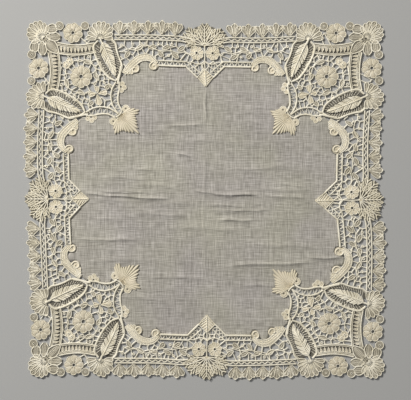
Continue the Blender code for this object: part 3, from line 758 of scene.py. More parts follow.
def side_half(lace):
    """What stands on each half of a side."""
    for i in range(TULIPS):
        tulip(lace, FIRST_TULIP + TULIP_PITCH * i)
    for depth, radius in ((FOOTINGS[0], 0.55), (FOOTINGS[1], 0.6)):
        line = [(17.0, depth + 1.2), (22.0, depth), (42.0, depth), (62.0, depth), (83.2, depth)]
        lace.cord(line, radius, step=3.0)
    waves = [(19.0 + 2.75 * i, FOOTINGS[0] + (1.3 if i % 2 else 3.0)) for i in range(24)]
    lace.cord(waves, 0.42, CORD_HEIGHT - 0.1)
    lace.cord([(43.0, INNER_CORD), (30.0, INNER_CORD), (16.8, INNER_CORD)], 0.6, step=3.0)
    lace.cord([(16.8, INNER_CORD), (10.0, 42.0), (5.4, 46.4)], 0.5, step=3.0)
    lace.cord([(42.4, LAWN_CORD), (30.0, LAWN_CORD), (17.8, LAWN_CORD)], 0.85, CORD_HEIGHT + 0.1, step=3.0)
    lace.cord([(17.8, LAWN_CORD), (12.4, 46.2), (7.2, 51.2)], 0.75, CORD_HEIGHT + 0.1, step=3.0)
    lace.rib([(7.4, 50.6), (3.9, 54.9), (0.3, 59.2)], 0.5, 0.5)
    lace.zigzag([(43.0, INNER_CORD), (17.0, INNER_CORD)], [(43.0, LAWN_CORD), (17.0, LAWN_CORD)], 11)
    lace.zigzag([(16.0, 37.4), (5.4, 47.0)], [(17.2, 41.0), (8.6, 49.4)], 8)
    lace.cord([(0.2, 36.0), (3.6, 38.2), (7.6, 38.6), (12.0, 36.8), (15.4, 37.2)], 0.5)
    for here, there in (((3.4, 38.4), (2.6, 46.8)), ((6.6, 38.8), (4.8, 46.4)), ((9.6, 38.2), (8.0, 43.4))):
        lace.bar(here, there, 0.26)
    scroll(lace)
    lace.rosette(SIDE_ROSETTE[:2], SIDE_ROSETTE[2], 8, 12)
    for along, deep, length, turn in SPRIGS:
        root, _ = bar_ends(along, deep, length + 1.6, turn + 180)
        lace.petal(root, turn, length + 1.8, 4.0, 0.35, 0.06, 1, 0.4)
    lace.cord(STEM, 0.42)
    for along, deep in DOTS:
        lace.ring((along, deep), 1.0, 0.42)
    for start, end in LOZENGE_VEINS:
        lace.bar(start, end, 0.34, CLOTH_WORK + 0.55)


def scroll(lace):
    """The broad ribbed scroll over the lawn's edge, with a curl at each end."""
    route = flowing(SCROLL, 1.1)
    places = np.linspace(0, len(SCROLL) - 1, len(route))
    widths = np.interp(places, range(len(SCROLL)), SCROLL_WIDTHS)
    lace.pad(route, widths, 0.5, PADDED)
    across = sideways(route)
    for away, thick in ((-1.0, 0.4), (-0.3, 0.2), (0.35, 0.2), (1.0, 0.45)):
        line = route + across * widths[:, None] * away
        lace.cord(line[::3], thick, CORD_HEIGHT + 0.4 * (1 - abs(away)), step=1.6)
    for i in range(1, len(route) - 1):
        start = route[i] + across[i] * widths[i] * 0.9
        end = route[min(i + 1, len(route) - 1)] - across[i] * widths[i] * 0.9
        lace.bar(start, end, 0.3, CLOTH_WORK + 0.42)
    for centre, way, first in ((CURL_A, 1, -75), (CURL_B, -1, -105)):
        spiral = [polar(centre, first + way * 42 * i, CURL_RADIUS * (1 - 0.075 * i) - 0.5) for i in range(11)]
        lace.disc(centre, 3.9, 0.3)
        curl = flowing(spiral, 1.2)
        lace.pad(curl, [1.1] * len(curl), 0.7, PADDED)
        lace.cord(spiral[:9], 0.36, CORD_HEIGHT + 0.45, step=1.0)
    for turn, length in ((28, 6.2), (62, 6.6), (96, 6.0)):
        lace.lobe((CURL_B[0] + 3.8, CURL_B[1] - 1.4), turn, length, 3.6, 0.5, 0.1, 1, 0.3, PADDED)


def side_blocks():
    """What the net of a side keeps clear of."""
    blocks = [(((-90.0, FOOTINGS[1]), (90.0, FOOTINGS[1])), 0.5)]
    for sign in (-1, 1):
        along, deep, radius = SIDE_ROSETTE
        blocks.append((((sign * along, deep),) * 2, radius))
        lines = (
            ([(44.0, INNER_CORD), (16.4, INNER_CORD), (4.6, 47.4)], 0.4),
            ([(18.4, 19.0), MIDDLE_FAN], 1.6),
            (SCROLL[:5], 3.6),
            (SCROLL[4:], 2.4),
            (SEAM, 0.6),
            (STEM, 0.3),
        )
        for line, thick in lines:
            line = [(sign * s, d) for s, d in line]
            blocks += [((p, q), thick) for p, q in zip(line, line[1:])]
        for along, deep, length, turn in SPRIGS:
            blocks.append((bar_ends(sign * along, deep, length, sign * turn), 1.5))
    blocks.append((((0.0, 24.0), (0.0, 36.0)), 0.5))
    blocks.append((((0.0, 46.0), (0.0, 52.0)), 3.0))
    return blocks


def side_region():
    """The outline of a side's net."""
    half = [(82.8, 18.0), (79.6, 26.0), (77.4, 33.6), (74.0, 42.4), (66.0, 36.0), (54.0, 29.2), (44.0, 35.8)]
    half += [(17.0, 36.0), (2.0, 49.0)]
    return half + [(-s, d) for s, d in reversed(half)]


def make_side(side):
    """One side of the border, from the edge to the lawn."""
    lace = Lace(lambda points: side_place(side, points), side)
    for turn, length, width, start in reversed(MIDDLE_FAN_FEATHERS):
        for way in (-turn, turn) if turn else (0,):
            lace.feather(MIDDLE_FAN, -90 + way, length + lace.chance.uniform(-0.4, 0.4), width, start)
    lace.disc(MIDDLE_FAN, 1.4, 0.5)
    lace.cord([MIDDLE_FAN, (0.2, 28.0), (-0.2, 36.0), (0.0, 45.0)], 0.5)
    lozenge = flowing([(0.0, deep) for deep, _ in LOZENGE], 1.0)
    lace.pad(lozenge, np.interp(lozenge[:, 1], *zip(*LOZENGE)), 0.5, PADDED)
    lace.cord([(0.0, 44.0), (0.0, 51.0), (0.0, 58.0)], 0.4, CORD_HEIGHT + 0.5)
    for tip in (-LOZENGE[1][1], LOZENGE[1][1]):
        edge = [(tip, LOZENGE[1][0]), (tip / 2, 47.0), (0.0, LOZENGE[0][0])]
        lace.cord(edge, 0.36, CORD_HEIGHT + 0.2)
    for half in (unturned, flipped):
        lace.turn = half
        side_half(lace)
    lace.turn = unturned
    lace.net(side_region(), side_blocks(), side)
    node = f"side_lace_{SIDE_NAMES[side]}"
    return lace.finished(node + "_worked", [node])


# The corner


def corner_half(lace):
    """What stands on each half of a corner."""
    lace.petal((29.0, 7.2), 175, 11.2, 8.6, 0.4, 0.02, 3, 0.48)
    lace.petal((32.0, 15.4), 184, 13.0, 7.8, 0.4, 0.02, 3, 0.48)
    for a, b, radius in RINGS:
        lace.pad(arc((a, b), 0.6 * radius, 0, 360, 14), [0.38 * radius] * 15, 0.4)
        lace.ring((a, b), radius, 0.36)
        lace.ring((a, b), 0.24 * radius, 0.3, CORD_HEIGHT + 0.2)
    for turn, length in EAR_FAN_PETALS:
        length += lace.chance.uniform(-0.5, 0.5)
        lace.lobe(EAR_FAN, -90 + turn, length, 0.29 * length, 0.3, 0.3, 1, 0.4)
    lace.fan_ground(EAR_FAN, -90, EAR_FAN_PETALS, 0.5)
    lace.cord([(68.0, 15.4), EAR_FAN, (70.0, 19.2), (71.4, 21.8)], 0.85, CORD_HEIGHT + 0.2)
    frame_band(lace)
    ear(lace)
    lace.cord(ARC_CORD, 0.68, CORD_HEIGHT + 0.1)
    lace.cord(LAWN_ARC, 0.8, CORD_HEIGHT + 0.1)
    lace.zigzag(ARC_CORD, LAWN_ARC, 12, 0.28)
    lace.cord([(89.0, 42.0), (88.0, 49.0), (86.4, 55.6), (86.6, 58.2)], 1.0, CORD_HEIGHT + 0.1)
    for turn in (-62, 10, 82):
        petal = polar((88.6, 61.0), turn, 3.2)
        lace.disc(petal, 2.1, 0.6)
        lace.ring(petal, 2.1, 0.36)
    for a, b, length, turn in CORNER_SPRIGS:
        root, _ = bar_ends(a, b, length + 1.6, turn + 180)
        lace.petal(root, turn, length + 1.8, 4.0, 0.35, 0.06, 1, 0.4)
    lace.rosette(SMALL_ROSETTE[:2], SMALL_ROSETTE[2], 5, 20)
    lace.cord(CORNER_STEM, 0.4)
    for centre in ((58.4, 33.2), (69.6, 46.0), (73.4, 57.2)):
        lace.ring(centre, 1.0, 0.4)


def frame_band(lace):
    """Two double cords with a row of small loops between them."""
    # A dark sheet under the band: the net's grey, with painted shade in the gaps between the loops
    lace.panel(beside(FRAME_OUTER, 2.0), beside(FRAME_INNER, -1.0), NET_AND_SHADE, CLOTH_WORK - 0.2)
    for line, near, far in ((FRAME_OUTER, 0.2, 2.5), (FRAME_INNER, -1.3, -0.2)):
        lace.panel(beside(line, near), beside(line, far))
        lace.cord(line, 0.6, CORD_HEIGHT + 0.1)
    lace.cord(beside(FRAME_OUTER, 1.5)[::3], 0.32)
    lace.cord(beside(FRAME_OUTER, 2.6)[::3], 0.32)
    lace.cord(beside(FRAME_INNER, -1.4)[::3], 0.3)
    tops = flowing([(32.4, 24.6), (45.6, 25.8), (62.4, 24.2)], 3.7)
    feet = flowing([(32.6, 28.8), (45.6, 29.8), (62.6, 28.2)], 3.7)
    for top, foot in zip(tops, feet):
        ahead = math.degrees(math.atan2(*(top - foot)[::-1]))
        length = float(np.linalg.norm(top - foot)) + 0.6
        lace.lobe(foot, ahead, length, 1.8, 0.5, 0.02, 0, 0.3, PADDED)


def evened(points, count):
    """A smooth curve through the points with that many points, evenly spread."""
    route = flowing(points, 0.8)
    gone = np.concatenate([[0.0], np.cumsum(np.linalg.norm(np.diff(route, axis=0), axis=1))])
    places = np.linspace(0, gone[-1], count)
    return np.column_stack([np.interp(places, gone, route[:, i]) for i in (0, 1)])


def leaf_edges(grow, count):
    """The two edges of the feather leaf, a distance outside it."""
    vein = evened(LEAF_VEIN, count)
    places = np.linspace(0, len(LEAF_WIDTHS) - 1, count)
    widths = flowing([(i, w) for i, w in enumerate(LEAF_WIDTHS)], 0.05)
    half = np.interp(places, widths[:, 0], widths[:, 1]) + grow
    across = sideways(vein) * half[:, None]
    return vein + across, vein - across


def ear(lace):
    """The ear: a band of fine net with short bars round the padded leaf, in a bold cord."""
    count = 34
    one, two = leaf_edges(0.5, count)
    lace.cord(EAR_LEFT, 0.75, CORD_HEIGHT + 0.1)
    lace.cord(EAR_RIGHT, 0.75, CORD_HEIGHT + 0.1)
    for outer, inner in ((evened(EAR_LEFT, count), one), (evened(EAR_RIGHT, count), two)):
        # The net band is darker than its thread: partly its own grey, partly painted shade
        lace.panel(outer, inner, NET_AND_SHADE, CLOTH_WORK - 0.1)
        step_in = outer + (inner - outer) * 0.2
        lace.cord(step_in[::4], 0.24)
        for i in range(3, count - 2, 2):
            lace.bar(step_in[i], inner[i], 0.2, BAR_HEIGHT)


def corner_blocks():
    """What the net of a corner keeps clear of."""
    half = []
    ear_side = [(64.6, 24.0), (67.6, 32.0), (71.2, 40.2), (76.6, 49.2), (83.0, 55.4)]
    for line, radius in ((FRAME_INNER, 0.5), (ear_side, 0.9), (ARC_CORD, 0.5)):
        half += [((p, q), radius) for p, q in zip(line, line[1:])]
    for a, b, length, turn in CORNER_SPRIGS:
        half.append((bar_ends(a, b, length, turn), 1.5))
    a, b, radius = SMALL_ROSETTE
    half.append((((a, b),) * 2, radius))
    blocks = half + [(tuple((b, a) for a, b in core), radius) for core, radius in half]
    a, b, radius = INNER_FLOWER
    blocks.append((((a, b),) * 2, radius))
    for turn in (0, 90):
        blocks.append((bar_ends(*QUATREFOIL, 10.0, turn), 1.9))
    return blocks


def corner_region():
    """The outline of a corner's net."""
    half = [(31.0, 31.0), (46.0, 32.0), (65.0, 30.4), (70.0, 40.4), (75.4, 49.8), (82.0, 56.6)]
    half += [(79.4, 63.0), (78.4, 70.0), (80.0, 78.0), (84.0, 84.0)]
    return half + [(b, a) for a, b in reversed(half[1:-1])]


def make_corner(corner):
    """One corner of the border, but for its flowers and leaves."""
    lace = Lace(corner_placer(corner, False), 20 + corner)
    wedge = [(51.8, 8.0), (61.0, 12.0), (61.0, 20.6), (44.0, 22.4), (42.0, 21.4)]
    round_wedge = [
        ((EDGE_FLOWER[:2],) * 2, 9.3),
        ((EAR_FAN, (57.0, 12.0)), 1.4),
        ((EAR_FAN, (57.0, 18.4)), 1.0),
    ]
    for half in (unturned, swapped):
        lace.turn = half
        corner_half(lace)
        lace.net(wedge, round_wedge, 30 + corner)
    lace.turn = unturned
    for turn, length in SHELL_PETALS:
        reach = length + lace.chance.uniform(-0.3, 0.3)
        lace.lobe(SHELL_ROOT, 225 + turn, reach, 0.29 * length, 0.3, 0.36, 1, 0.38)
    lace.fan_ground(SHELL_ROOT, 225, SHELL_PETALS, 0.5)
    for turn, length in PALMETTE_PETALS:
        length += lace.chance.uniform(-0.7, 0.7)
        lace.lobe(PALMETTE, 45 + turn, length, 3.0, 1.0, 0.04, 0, 0, PADDED)
    lace.cord(ARC_JOIN, 0.72, CORD_HEIGHT + 0.5)
    for turn in (-45, 135):
        curl = polar(PALMETTE, turn, 8.2)
        lace.pad(arc(curl, 1.9, 0, 360, 14), [1.5] * 15, 0.7, PADDED)
        lace.ring(curl, 3.3, 0.4)
    for turn, length, width in ((-8, 8.8, 4.8), (82, 10.6, 6.0), (172, 8.2, 4.6), (262, 6.4, 4.2)):
        lace.lobe(QUATREFOIL, turn, length, width, 0.5, 0.08, 1, 0.4, PADDED)
    # A dark disc of painted shade: the hollow at the shell's root
    lace.disc((17.9, 17.9), 5.0, 0.0, NET_AND_SHADE)
    for turn in range(-105, 106, 30):
        rib = [polar(SHELL_ROOT, 45 + turn, 1.2), polar(SHELL_ROOT, 45 + turn, 6.4)]
        lace.rib(rib, 0.24, 0.42, CORD_HEIGHT + 0.05)
    lace.petal((18.6, 18.6), 45, 15.6, 9.8, 0.4, 0.04, 4, 0.5)
    lace.net(corner_region(), corner_blocks(), 20 + corner)
    node = f"corner_lace_{CORNER_NAMES[corner]}"
    return lace.finished(node + "_worked", [node])


# Padded work


def padded_mesh(name, grid, place, closed):
    """A padded form from a grid of drawn points, heights and painted groove shade, closed by a flat
    underside.
    """
    rows, columns = grid.shape[:2]
    flat = lain(place(grid.reshape(-1, 4)[:, :2]))
    groove_shades = np.tile(grid.reshape(-1, 4)[:, 3], 2)
    top = np.column_stack([flat, grid.reshape(-1, 4)[:, 2]]) * MM
    low = top.copy()
    low[:, 2] = PADDED_FOOT * MM
    points = np.concatenate([top, low])
    half = len(top)
    faces = []
    turns = columns if closed else columns - 1
    for i in range(rows - 1):
        for j in range(turns):
            k = (j + 1) % columns
            loop = (i * columns + j, i * columns + k, (i + 1) * columns + k, (i + 1) * columns + j)
            faces.append(loop)
            faces.append(tuple(half + p for p in reversed(loop)))
    for i in (0, rows - 1):
        for j in range(turns):
            k = (j + 1) % columns
            faces.append((i * columns + j, half + i * columns + j, half + i * columns + k, i * columns + k))
    if not closed:
        for j in (0, columns - 1):
            for i in range(rows - 1):
                here, there = i * columns + j, (i + 1) * columns + j
                faces.append((here, half + here, half + there, there))
    return skin(name, points, faces, (PADDED_THREAD,), [0] * len(faces), groove_shades)


def make_flower(node, corner, flower, mirror, number):
    """A flower of padded petals round an open eye, each petal with fine ribs and a cord."""
    a, b, radius = flower
    chance = random.Random(number)
    spin = chance.uniform(0, 360)
    rows, columns = 12, 24 * FLOWER_PETALS
    grid = np.zeros((rows, columns, 4))
    for j in range(columns):
        turn = 2 * math.pi * j / columns
        lobe = abs(math.cos(FLOWER_PETALS * turn / 2))
        reach = radius * (0.9 + 0.1 * lobe**0.5)
        rib = 0.5 + 0.5 * math.cos(FLOWER_PETALS * 4 * turn)
        for i in range(rows):
            share = i / (rows - 1)
            r = 0.15 * radius + (reach - 0.15 * radius) * share
            crown = math.sin(math.pi * min(1.0, 0.12 + 0.84 * share)) ** 0.7
            height = 0.7 + crown * (0.3 + 0.8 * lobe**0.6) + 0.2 * rib * share
            # Painted shade: darker between the ribs, between the petals and towards the eye
            groove_shade = 0.6 * (1 - rib) * min(1.0, 2 * share)
            groove_shade += 0.5 * (1 - lobe**0.35)
            groove_shade += max(0.0, 1 - 4 * share)
            x, y = polar((a, b), math.degrees(turn) + spin, r)
            grid[i, j] = x, y, height, min(1.4, groove_shade)
    place = corner_placer(corner, mirror)
    body = padded_mesh(node + "_worked", grid, place, True)
    lace = Lace(place, number)
    for i in range(FLOWER_PETALS):
        turn = spin + 360 / FLOWER_PETALS * i
        outline = [polar((a, b), turn + away, radius * share) for away, share in PETAL_OUTLINE]
        lace.cord(outline, 0.28, 1.35)
    lace.ring((a, b), 0.2 * radius, 0.3, 1.2)
    cords = thread_mesh(node + "_cords", lace.cords, 1, OUTLINE_CORD)
    return joined(node + "_worked", [body, cords], [node])


def make_leaf(node, corner, mirror, number):
    """The feather leaf: a padded lens with slanting cord ribs on both sides of a raised vein."""
    rows, columns = 61, 17
    vein = evened(LEAF_VEIN, rows)
    one, two = leaf_edges(-0.5, rows)
    grid = np.zeros((rows, columns, 4))
    for i in range(rows):
        for j in range(columns):
            side = 2 * j / (columns - 1) - 1
            point = vein[i] + ((one[i] if side > 0 else two[i]) - vein[i]) * abs(side)
            height = 0.7 + 0.6 * math.sqrt(max(0.0, 1 - abs(side) ** 2.4))
            # Painted shade over the whole body, so that it is darker than its cords
            grid[i, j] = point[0], point[1], height, 0.95
    place = corner_placer(corner, mirror)
    body = padded_mesh(node + "_worked", grid, place, False)
    lace = Lace(place, number)
    lace.cord(vein[1:-2:7], 0.5, 1.9)
    for edge in (one, two):
        for i in range(0, rows - 10, 3):
            last = min(i + lace.chance.choice((7, 8, 9, 10)), rows - 2)
            half_way = (vein[i] + edge[last]) / 2 - (vein[last] - vein[i]) * 0.1
            out = edge[last] + (edge[last] - vein[last]) * lace.chance.uniform(0.0, 0.12)
            radius = lace.chance.uniform(0.46, 0.62)
            lace.cord([vein[i], half_way, out], radius, lace.chance.uniform(1.3, 1.55), step=1.4)
    cords = thread_mesh(node + "_cords", lace.cords, 1, OUTLINE_CORD)
    return joined(node + "_worked", [body, cords], [node])


# The lawn


def side_half_lawn_edge():
    """The lawn's edge along one half of a side, under the scrolls and the inner cord."""
    edge = [(71.4, 48.0)]
    edge += arc(CURL_B, 4.4, 14, 176, 4)
    edge += [(58.6, 38.8), (54.6, 36.8), (51.2, 38.8)]
    edge += arc(CURL_A, 4.4, 4, 140, 3)
    return edge + [(41.2, 41.7), (17.8, 41.7), (8.2, 50.2)]


def lawn_outline():
    """The line all round between the lace and the lawn, run a little under the lace."""
    half_side = [SEAM[-1]] + side_half_lawn_edge()
    half_corner = [(90.0, 57.2), (92.0, 60.4), (90.6, 63.6), (88.0, 64.4), (85.8, 69.4), (85.8, 75.6)]
    round_palmette = ((-92, 9.0), (-74, 11.0), (-57, 14.0), (-28, 14.0), (0, 19.0))
    half_corner += [polar(PALMETTE, 45 + turn, radius) for turn, radius in round_palmette]
    loop = []
    for side in range(4):
        corner = [(b, a) for a, b in half_corner] + half_corner[-2::-1]
        loop.append(corner_place(side, np.array(corner)))
        edge = [(-s, d) for s, d in half_side] + [(0.0, 58.4)] + half_side[::-1]
        loop.append(side_place(side, np.array(edge)))
    return lain(np.concatenate(loop))[::-1]


def crease_lift(points):
    """How far the folds and the lie of the cloth lift the lawn, in millimetres."""
    lift = np.zeros(len(points))
    for ax, ay, bx, by, height, half_width in CREASES:
        line = np.array((bx - ax, by - ay))
        length = float(np.linalg.norm(line))
        line /= length
        away = points - np.array((ax, ay))
        along = away @ line / length
        bend = 0.5 * half_width * np.sin(along * 9.0 + ax)
        across = (away[:, 0] * line[1] - away[:, 1] * line[0] + bend * 0.5) / half_width
        ends = np.clip(4.0 * np.minimum(along, 1 - along), 0, 1)
        lift += height * ends * np.exp(-(across**2) * 1.6)
    x, y = points[:, 0], points[:, 1]
    lift += 0.10 * (1 + np.sin(x / 17.0 + 1.3 * np.sin(y / 41.0)))
    lift += 0.16 * (1 + np.sin(y / 9.5 + 1.1 * np.sin(x / 37.0)))
    return lift


def make_lawn():
    """The sheer lawn: one thin sheet on its folds."""
    outline = lawn_outline()
    step = 2.4
    low, high = outline.min(axis=0), outline.max(axis=0)
    loop = [Vector(p) for p in outline]
    points = list(loop)
    columns = np.arange(low[0] + 1.0, high[0], step)
    for row, y in enumerate(np.arange(low[1] + 1.0, high[1], step)):
        points += [Vector((x + 0.5 * step * (row % 2), y)) for x in columns]
    for ax, ay, bx, by, _, half_width in CREASES:
        start, line = Vector((ax, ay)), Vector((bx - ax, by - ay))
        across = Vector((-line.y, line.x)).normalized() * half_width
        count = int(line.length / 1.6)
        for i in range(count):
            points += [start + line * (i / count) + across * t for t in (-0.7, -0.3, 0.0, 0.3, 0.7)]
    found = delaunay_2d_cdt(points, [], [list(range(len(loop)))], 1, 1e-4)
    flat = np.array([tuple(p) for p in found[0]])
    lift = crease_lift(flat) + LAWN_HEIGHT
    mesh = bmesh.new()
    corners = [mesh.verts.new((x * MM, y * MM, z * MM)) for (x, y), z in zip(flat, lift)]
    for face, owner in zip(found[2], found[5]):
        if owner:
            mesh.faces.new([corners[i] for i in face])
    bmesh.ops.delete(mesh, geom=[v for v in mesh.verts if not v.link_faces], context="VERTS")
    bmesh.ops.recalc_face_normals(mesh, faces=mesh.faces)
    if sum(face.normal.z for face in mesh.faces) < 0:
        bmesh.ops.reverse_faces(mesh, faces=mesh.faces)
    data = bpy.data.meshes.new("lawn_sheet")
    mesh.to_mesh(data)
    mesh.free()
    data.materials.append(SHEER_LAWN)
    lawn = bpy.data.objects.new("lawn_sheet", data)
    bpy.context.scene.collection.objects.link(lawn)
    only(lawn)
    wall = lawn.modifiers.new("thickness", "SOLIDIFY")
    wall.thickness = LAWN_THICK * MM
    wall.offset = -1.0
    bpy.ops.object.modifier_apply(modifier=wall.name)
    bpy.ops.object.shade_smooth()
    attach(lawn, "root")
    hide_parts("lawn_centre")
    return lawn


# Materials


def shade(code):
    """An sRGB hex colour as Blender's linear one."""
    parts = [int(code[i:i + 2], 16) / 255 for i in (1, 3, 5)]
    return [p / 12.92 if p <= 0.04045 else ((p + 0.055) / 1.055) ** 2.4 for p in parts] + [1.0]


def add(tree, kind, settings=None, stops=(), **links):
    """Adds a node with its settings and a ramp's stops.

    A link names the input, or gives its number after an i, and is a socket or a value.
    """
    node = tree.nodes.new(kind)
    for name, value in (settings or {}).items():
        setattr(node, name, value)
    for _ in stops[2:]:
        node.color_ramp.elements.new(0.5)
    for i, (place, code) in enumerate(stops):
        node.color_ramp.elements[i].position = place
        node.color_ramp.elements[i].color = shade(code)
    for name, source in links.items():
        by_number = name[0] == "i" and name[1:].isdigit()
        target = node.inputs[int(name[1:]) if by_number else name.replace("_", " ")]
        if isinstance(source, bpy.types.NodeSocket):
            tree.links.new(source, target)
        else:
            target.default_value = source
    return node


def blank(name):
    """A material with an empty tree."""
    material = bpy.data.materials.new(name)
    material.use_nodes = True
    material.node_tree.nodes.clear()
    return material, material.node_tree


def spread(tree, x, y, z):
    """Where a point lies on the piece, stretched so that a pattern has its own pitch each way."""
    place = add(tree, "ShaderNodeTexCoord").outputs["Object"]
    return add(tree, "ShaderNodeMapping", Vector=place, Scale=(x, y, z)).outputs[0]


def thread_finish(name, dark, pale, grain, depth=0.12, shadow=0.0):
    """Linen thread: matt, with a little sheen, paler and darker by the length, and with painted shade in its
    grooves.

    The grain and its depth are in millimetres. The real ply is about 0.2 mm, which is too fine to show.
    """
    material, tree = blank(name)
    here = spread(tree, 1, 1, 1)
    patches = add(tree, "ShaderNodeTexNoise", Vector=here, Scale=90.0, Detail=3.0).outputs["Fac"]
    colour = add(tree, "ShaderNodeValToRGB", stops=((0.32, dark), (0.68, pale)), Fac=patches).outputs[0]
    # Painted shade: the colour is darkened by the shadow share where the groove shade attribute is high
    if shadow:
        groove_shade = add(tree, "ShaderNodeAttribute", {"attribute_name": "groove_shade"}).outputs["Fac"]
        left = add(tree, "ShaderNodeMath", {"operation": "MULTIPLY_ADD"}, i0=groove_shade, i1=-shadow, i2=1.0)
        colour = add(
            tree, "ShaderNodeVectorMath", {"operation": "SCALE"}, i0=colour, Scale=left.outputs[0]
        ).outputs[0]
    fine = 1000.0 / grain
    ply = add(tree, "ShaderNodeTexNoise", Vector=here, Scale=fine, Detail=2.0).outputs["Fac"]
    twist = add(
        tree, "ShaderNodeTexWave", {"wave_type": "BANDS", "bands_direction": "DIAGONAL"},
        Vector=here, Scale=fine / 6.28, Distortion=1.5,
    ).outputs["Fac"]
    height = add(tree, "ShaderNodeMath", {"operation": "ADD"}, i0=ply, i1=twist).outputs[0]
    bump = add(tree, "ShaderNodeBump", Strength=0.5, Distance=depth * MM, Height=height).outputs[0]
    surface = add(
        tree, "ShaderNodeBsdfPrincipled",
        Base_Color=colour, Normal=bump, Roughness=0.72, Sheen_Weight=0.25, Sheen_Roughness=0.5,
    )
    add(tree, "ShaderNodeOutputMaterial", Surface=surface.outputs[0])
    return material


def lawn_finish():
    """Sheer cotton lawn: an uneven plain weave, with stray thicker threads both ways."""
    material, tree = blank("sheer_cotton_lawn")
    # Threads and their streaks for each metre across and along, and their share. The real threads
    # are 0.3 mm apart, and these are drawn about 0.7 mm apart, so that the weave shows.
    streaks = ((1500.0, 110.0, 0.28), (1250.0, 34.0, 0.14), (1300.0, 9.0, 0.14))
    weave = 0.0
    for across, along, share in streaks:
        for x, y in ((across, along), (along, across)):
            noise = add(tree, "ShaderNodeTexNoise", Vector=spread(tree, x, y, 1.0), Scale=1.0, Detail=0.0)
            weave = add(
                tree, "ShaderNodeMath", {"operation": "MULTIPLY_ADD"},
                i0=noise.outputs["Fac"], i1=share, i2=weave,
            ).outputs[0]
    patches = add(tree, "ShaderNodeTexNoise", Vector=spread(tree, 24.0, 24.0, 1.0), Scale=1.0, Detail=2.0)
    weave = add(
        tree, "ShaderNodeMath", {"operation": "MULTIPLY_ADD"},
        i0=patches.outputs["Fac"], i1=0.1, i2=weave,
    ).outputs[0]
    threads = ((0.45, "#9E9A91"), (0.61, "#BAB6AC"), (0.77, "#D7D3CA"))
    colour = add(tree, "ShaderNodeValToRGB", stops=threads, Fac=weave).outputs[0]
    # Cool and warm patches a few centimetres across
    broad = add(tree, "ShaderNodeTexNoise", Vector=spread(tree, 19.0, 19.0, 1.0), Scale=1.0, Detail=1.0)
    tints = ((0.34, "#F6F4F8"), (0.66, "#F8F8F2"))
    tint = add(tree, "ShaderNodeValToRGB", stops=tints, Fac=broad.outputs["Fac"]).outputs[0]
    colour = add(tree, "ShaderNodeVectorMath", {"operation": "MULTIPLY"}, i0=colour, i1=tint).outputs[0]
    bump = add(tree, "ShaderNodeBump", Strength=0.3, Distance=0.12 * MM, Height=weave).outputs[0]
    surface = add(
        tree, "ShaderNodeBsdfPrincipled",
        Base_Color=colour, Normal=bump, Roughness=0.85, Sheen_Weight=0.1,
    ).outputs[0]
    clear = add(tree, "ShaderNodeBsdfTransparent").outputs[0]
    # Where the threads are thin, more of what lies below shows through
    sheer = add(
        tree, "ShaderNodeMapRange",
        Value=weave, From_Min=0.48, From_Max=0.7, To_Min=0.26, To_Max=0.12,
    ).outputs[0]
    mix = add(tree, "ShaderNodeMixShader", i0=sheer, i1=surface, i2=clear)
    add(tree, "ShaderNodeOutputMaterial", Surface=mix.outputs[0])
    return material


def floor_finish():
    """Plain painted board: pale, even and without gloss."""
    material, tree = blank("plain_pale_floor")
    surface = add(tree, "ShaderNodeBsdfPrincipled", Base_Color=shade("#ACACAA"), Roughness=0.9)
    add(tree, "ShaderNodeOutputMaterial", Surface=surface.outputs[0])
    return material


# Close cloth work of fine thread: dull, and darker than the cords that outline it, with painted shade in its
# grooves
CLOTH_THREAD = thread_finish("linen_cloth_work", "#958E7C", "#B1AA97", 0.7, 0.25, 0.6)
# Net too fine to show its holes: a grey brown ground, partly the net's own colour and partly painted shade,
# so that it looks deep between pale threads
NET_AND_SHADE_THREAD = thread_finish("fine_linen_net_and_painted_shade", "#5C584E", "#777265", 0.9, 0.35, 0.3)
# Thick washed cord: the palest and crispest line of the lace
OUTLINE_CORD = thread_finish("linen_outline_cord", "#E4DCC4", "#F8F2E0", 0.5)
# Looser thread over a ground: softer and a shade darker than the cord
RIB_THREAD = thread_finish("linen_rib_thread", "#CEC6AE", "#E8E0C9", 0.4)
# Single fine thread: pale where it crosses a gap
BAR_THREAD = thread_finish("linen_bar_thread", "#E6DFCB", "#F6F1E1", 0.4)
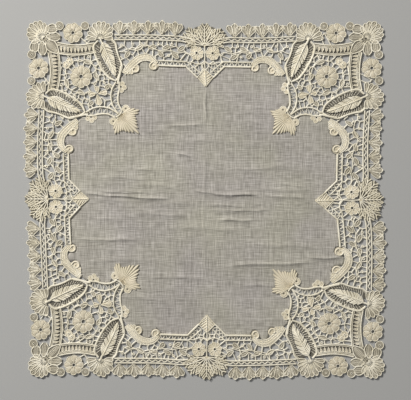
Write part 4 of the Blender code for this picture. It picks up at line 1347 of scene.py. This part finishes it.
# Thread worked over padding: warm ivory, full where it swells, with painted shade making it brown in its
# grooves
PADDED_THREAD = thread_finish("padded_linen_work", "#D6CCB1", "#E9DEC5", 0.6, shadow=0.6)
# Washed sheer cloth: greyish, with the floor just showing through
SHEER_LAWN = lawn_finish()


# The room


def make_room():
    """A plain pale floor, soft light from the upper left, and the camera straight above."""
    bpy.ops.mesh.primitive_plane_add(size=6.0, location=(0, 0, -0.0002))
    floor = bpy.context.object
    floor.name = "floor"
    floor.data.materials.append(floor_finish())
    scene = bpy.context.scene
    world = bpy.data.worlds.new("soft_studio")
    world.use_nodes = True
    world.node_tree.nodes["Background"].inputs[0].default_value = (0.95, 0.97, 1.0, 1.0)
    world.node_tree.nodes["Background"].inputs[1].default_value = 0.14
    scene.world = world
    for name, place, size, power in (
        ("key", (-1.3, 1.3, 1.22), 0.53, 63.0),
        ("fill", (0.9, -0.6, 1.3), 1.0, 3.0),
    ):
        lamp = bpy.data.lights.new(name, "AREA")
        lamp.shape = "DISK"
        lamp.size = size
        lamp.energy = power
        lamp.color = (1.0, 0.98, 0.95)
        light = bpy.data.objects.new(name, lamp)
        light.location = place
        light.rotation_euler = (-Vector(place)).to_track_quat("-Z", "Y").to_euler()
        scene.collection.objects.link(light)
    view = bpy.data.cameras.new("view")
    view.lens = 85.0
    view.sensor_width = 36.0
    camera = bpy.data.objects.new("view", view)
    across = PHOTO_ACROSS * PIXEL * MM
    camera.location = (0.00066, 0.0002, across * view.lens / view.sensor_width)
    scene.collection.objects.link(camera)
    scene.camera = camera
    scene.view_settings.view_transform = "Standard"


make_room()
lawn = make_lawn()
for number in range(4):
    name = CORNER_NAMES[number]
    make_side(number)
    make_corner(number)
    make_leaf(f"leaf_{name}_a", number, False, 40 + number)
    make_leaf(f"leaf_{name}_b", number, True, 44 + number)
    make_flower(f"corner_flower_{name}", number, INNER_FLOWER, False, 50 + number)
    make_flower(f"edge_flower_{name}_a", number, EDGE_FLOWER, False, 54 + number)
    make_flower(f"edge_flower_{name}_b", number, EDGE_FLOWER, True, 58 + number)
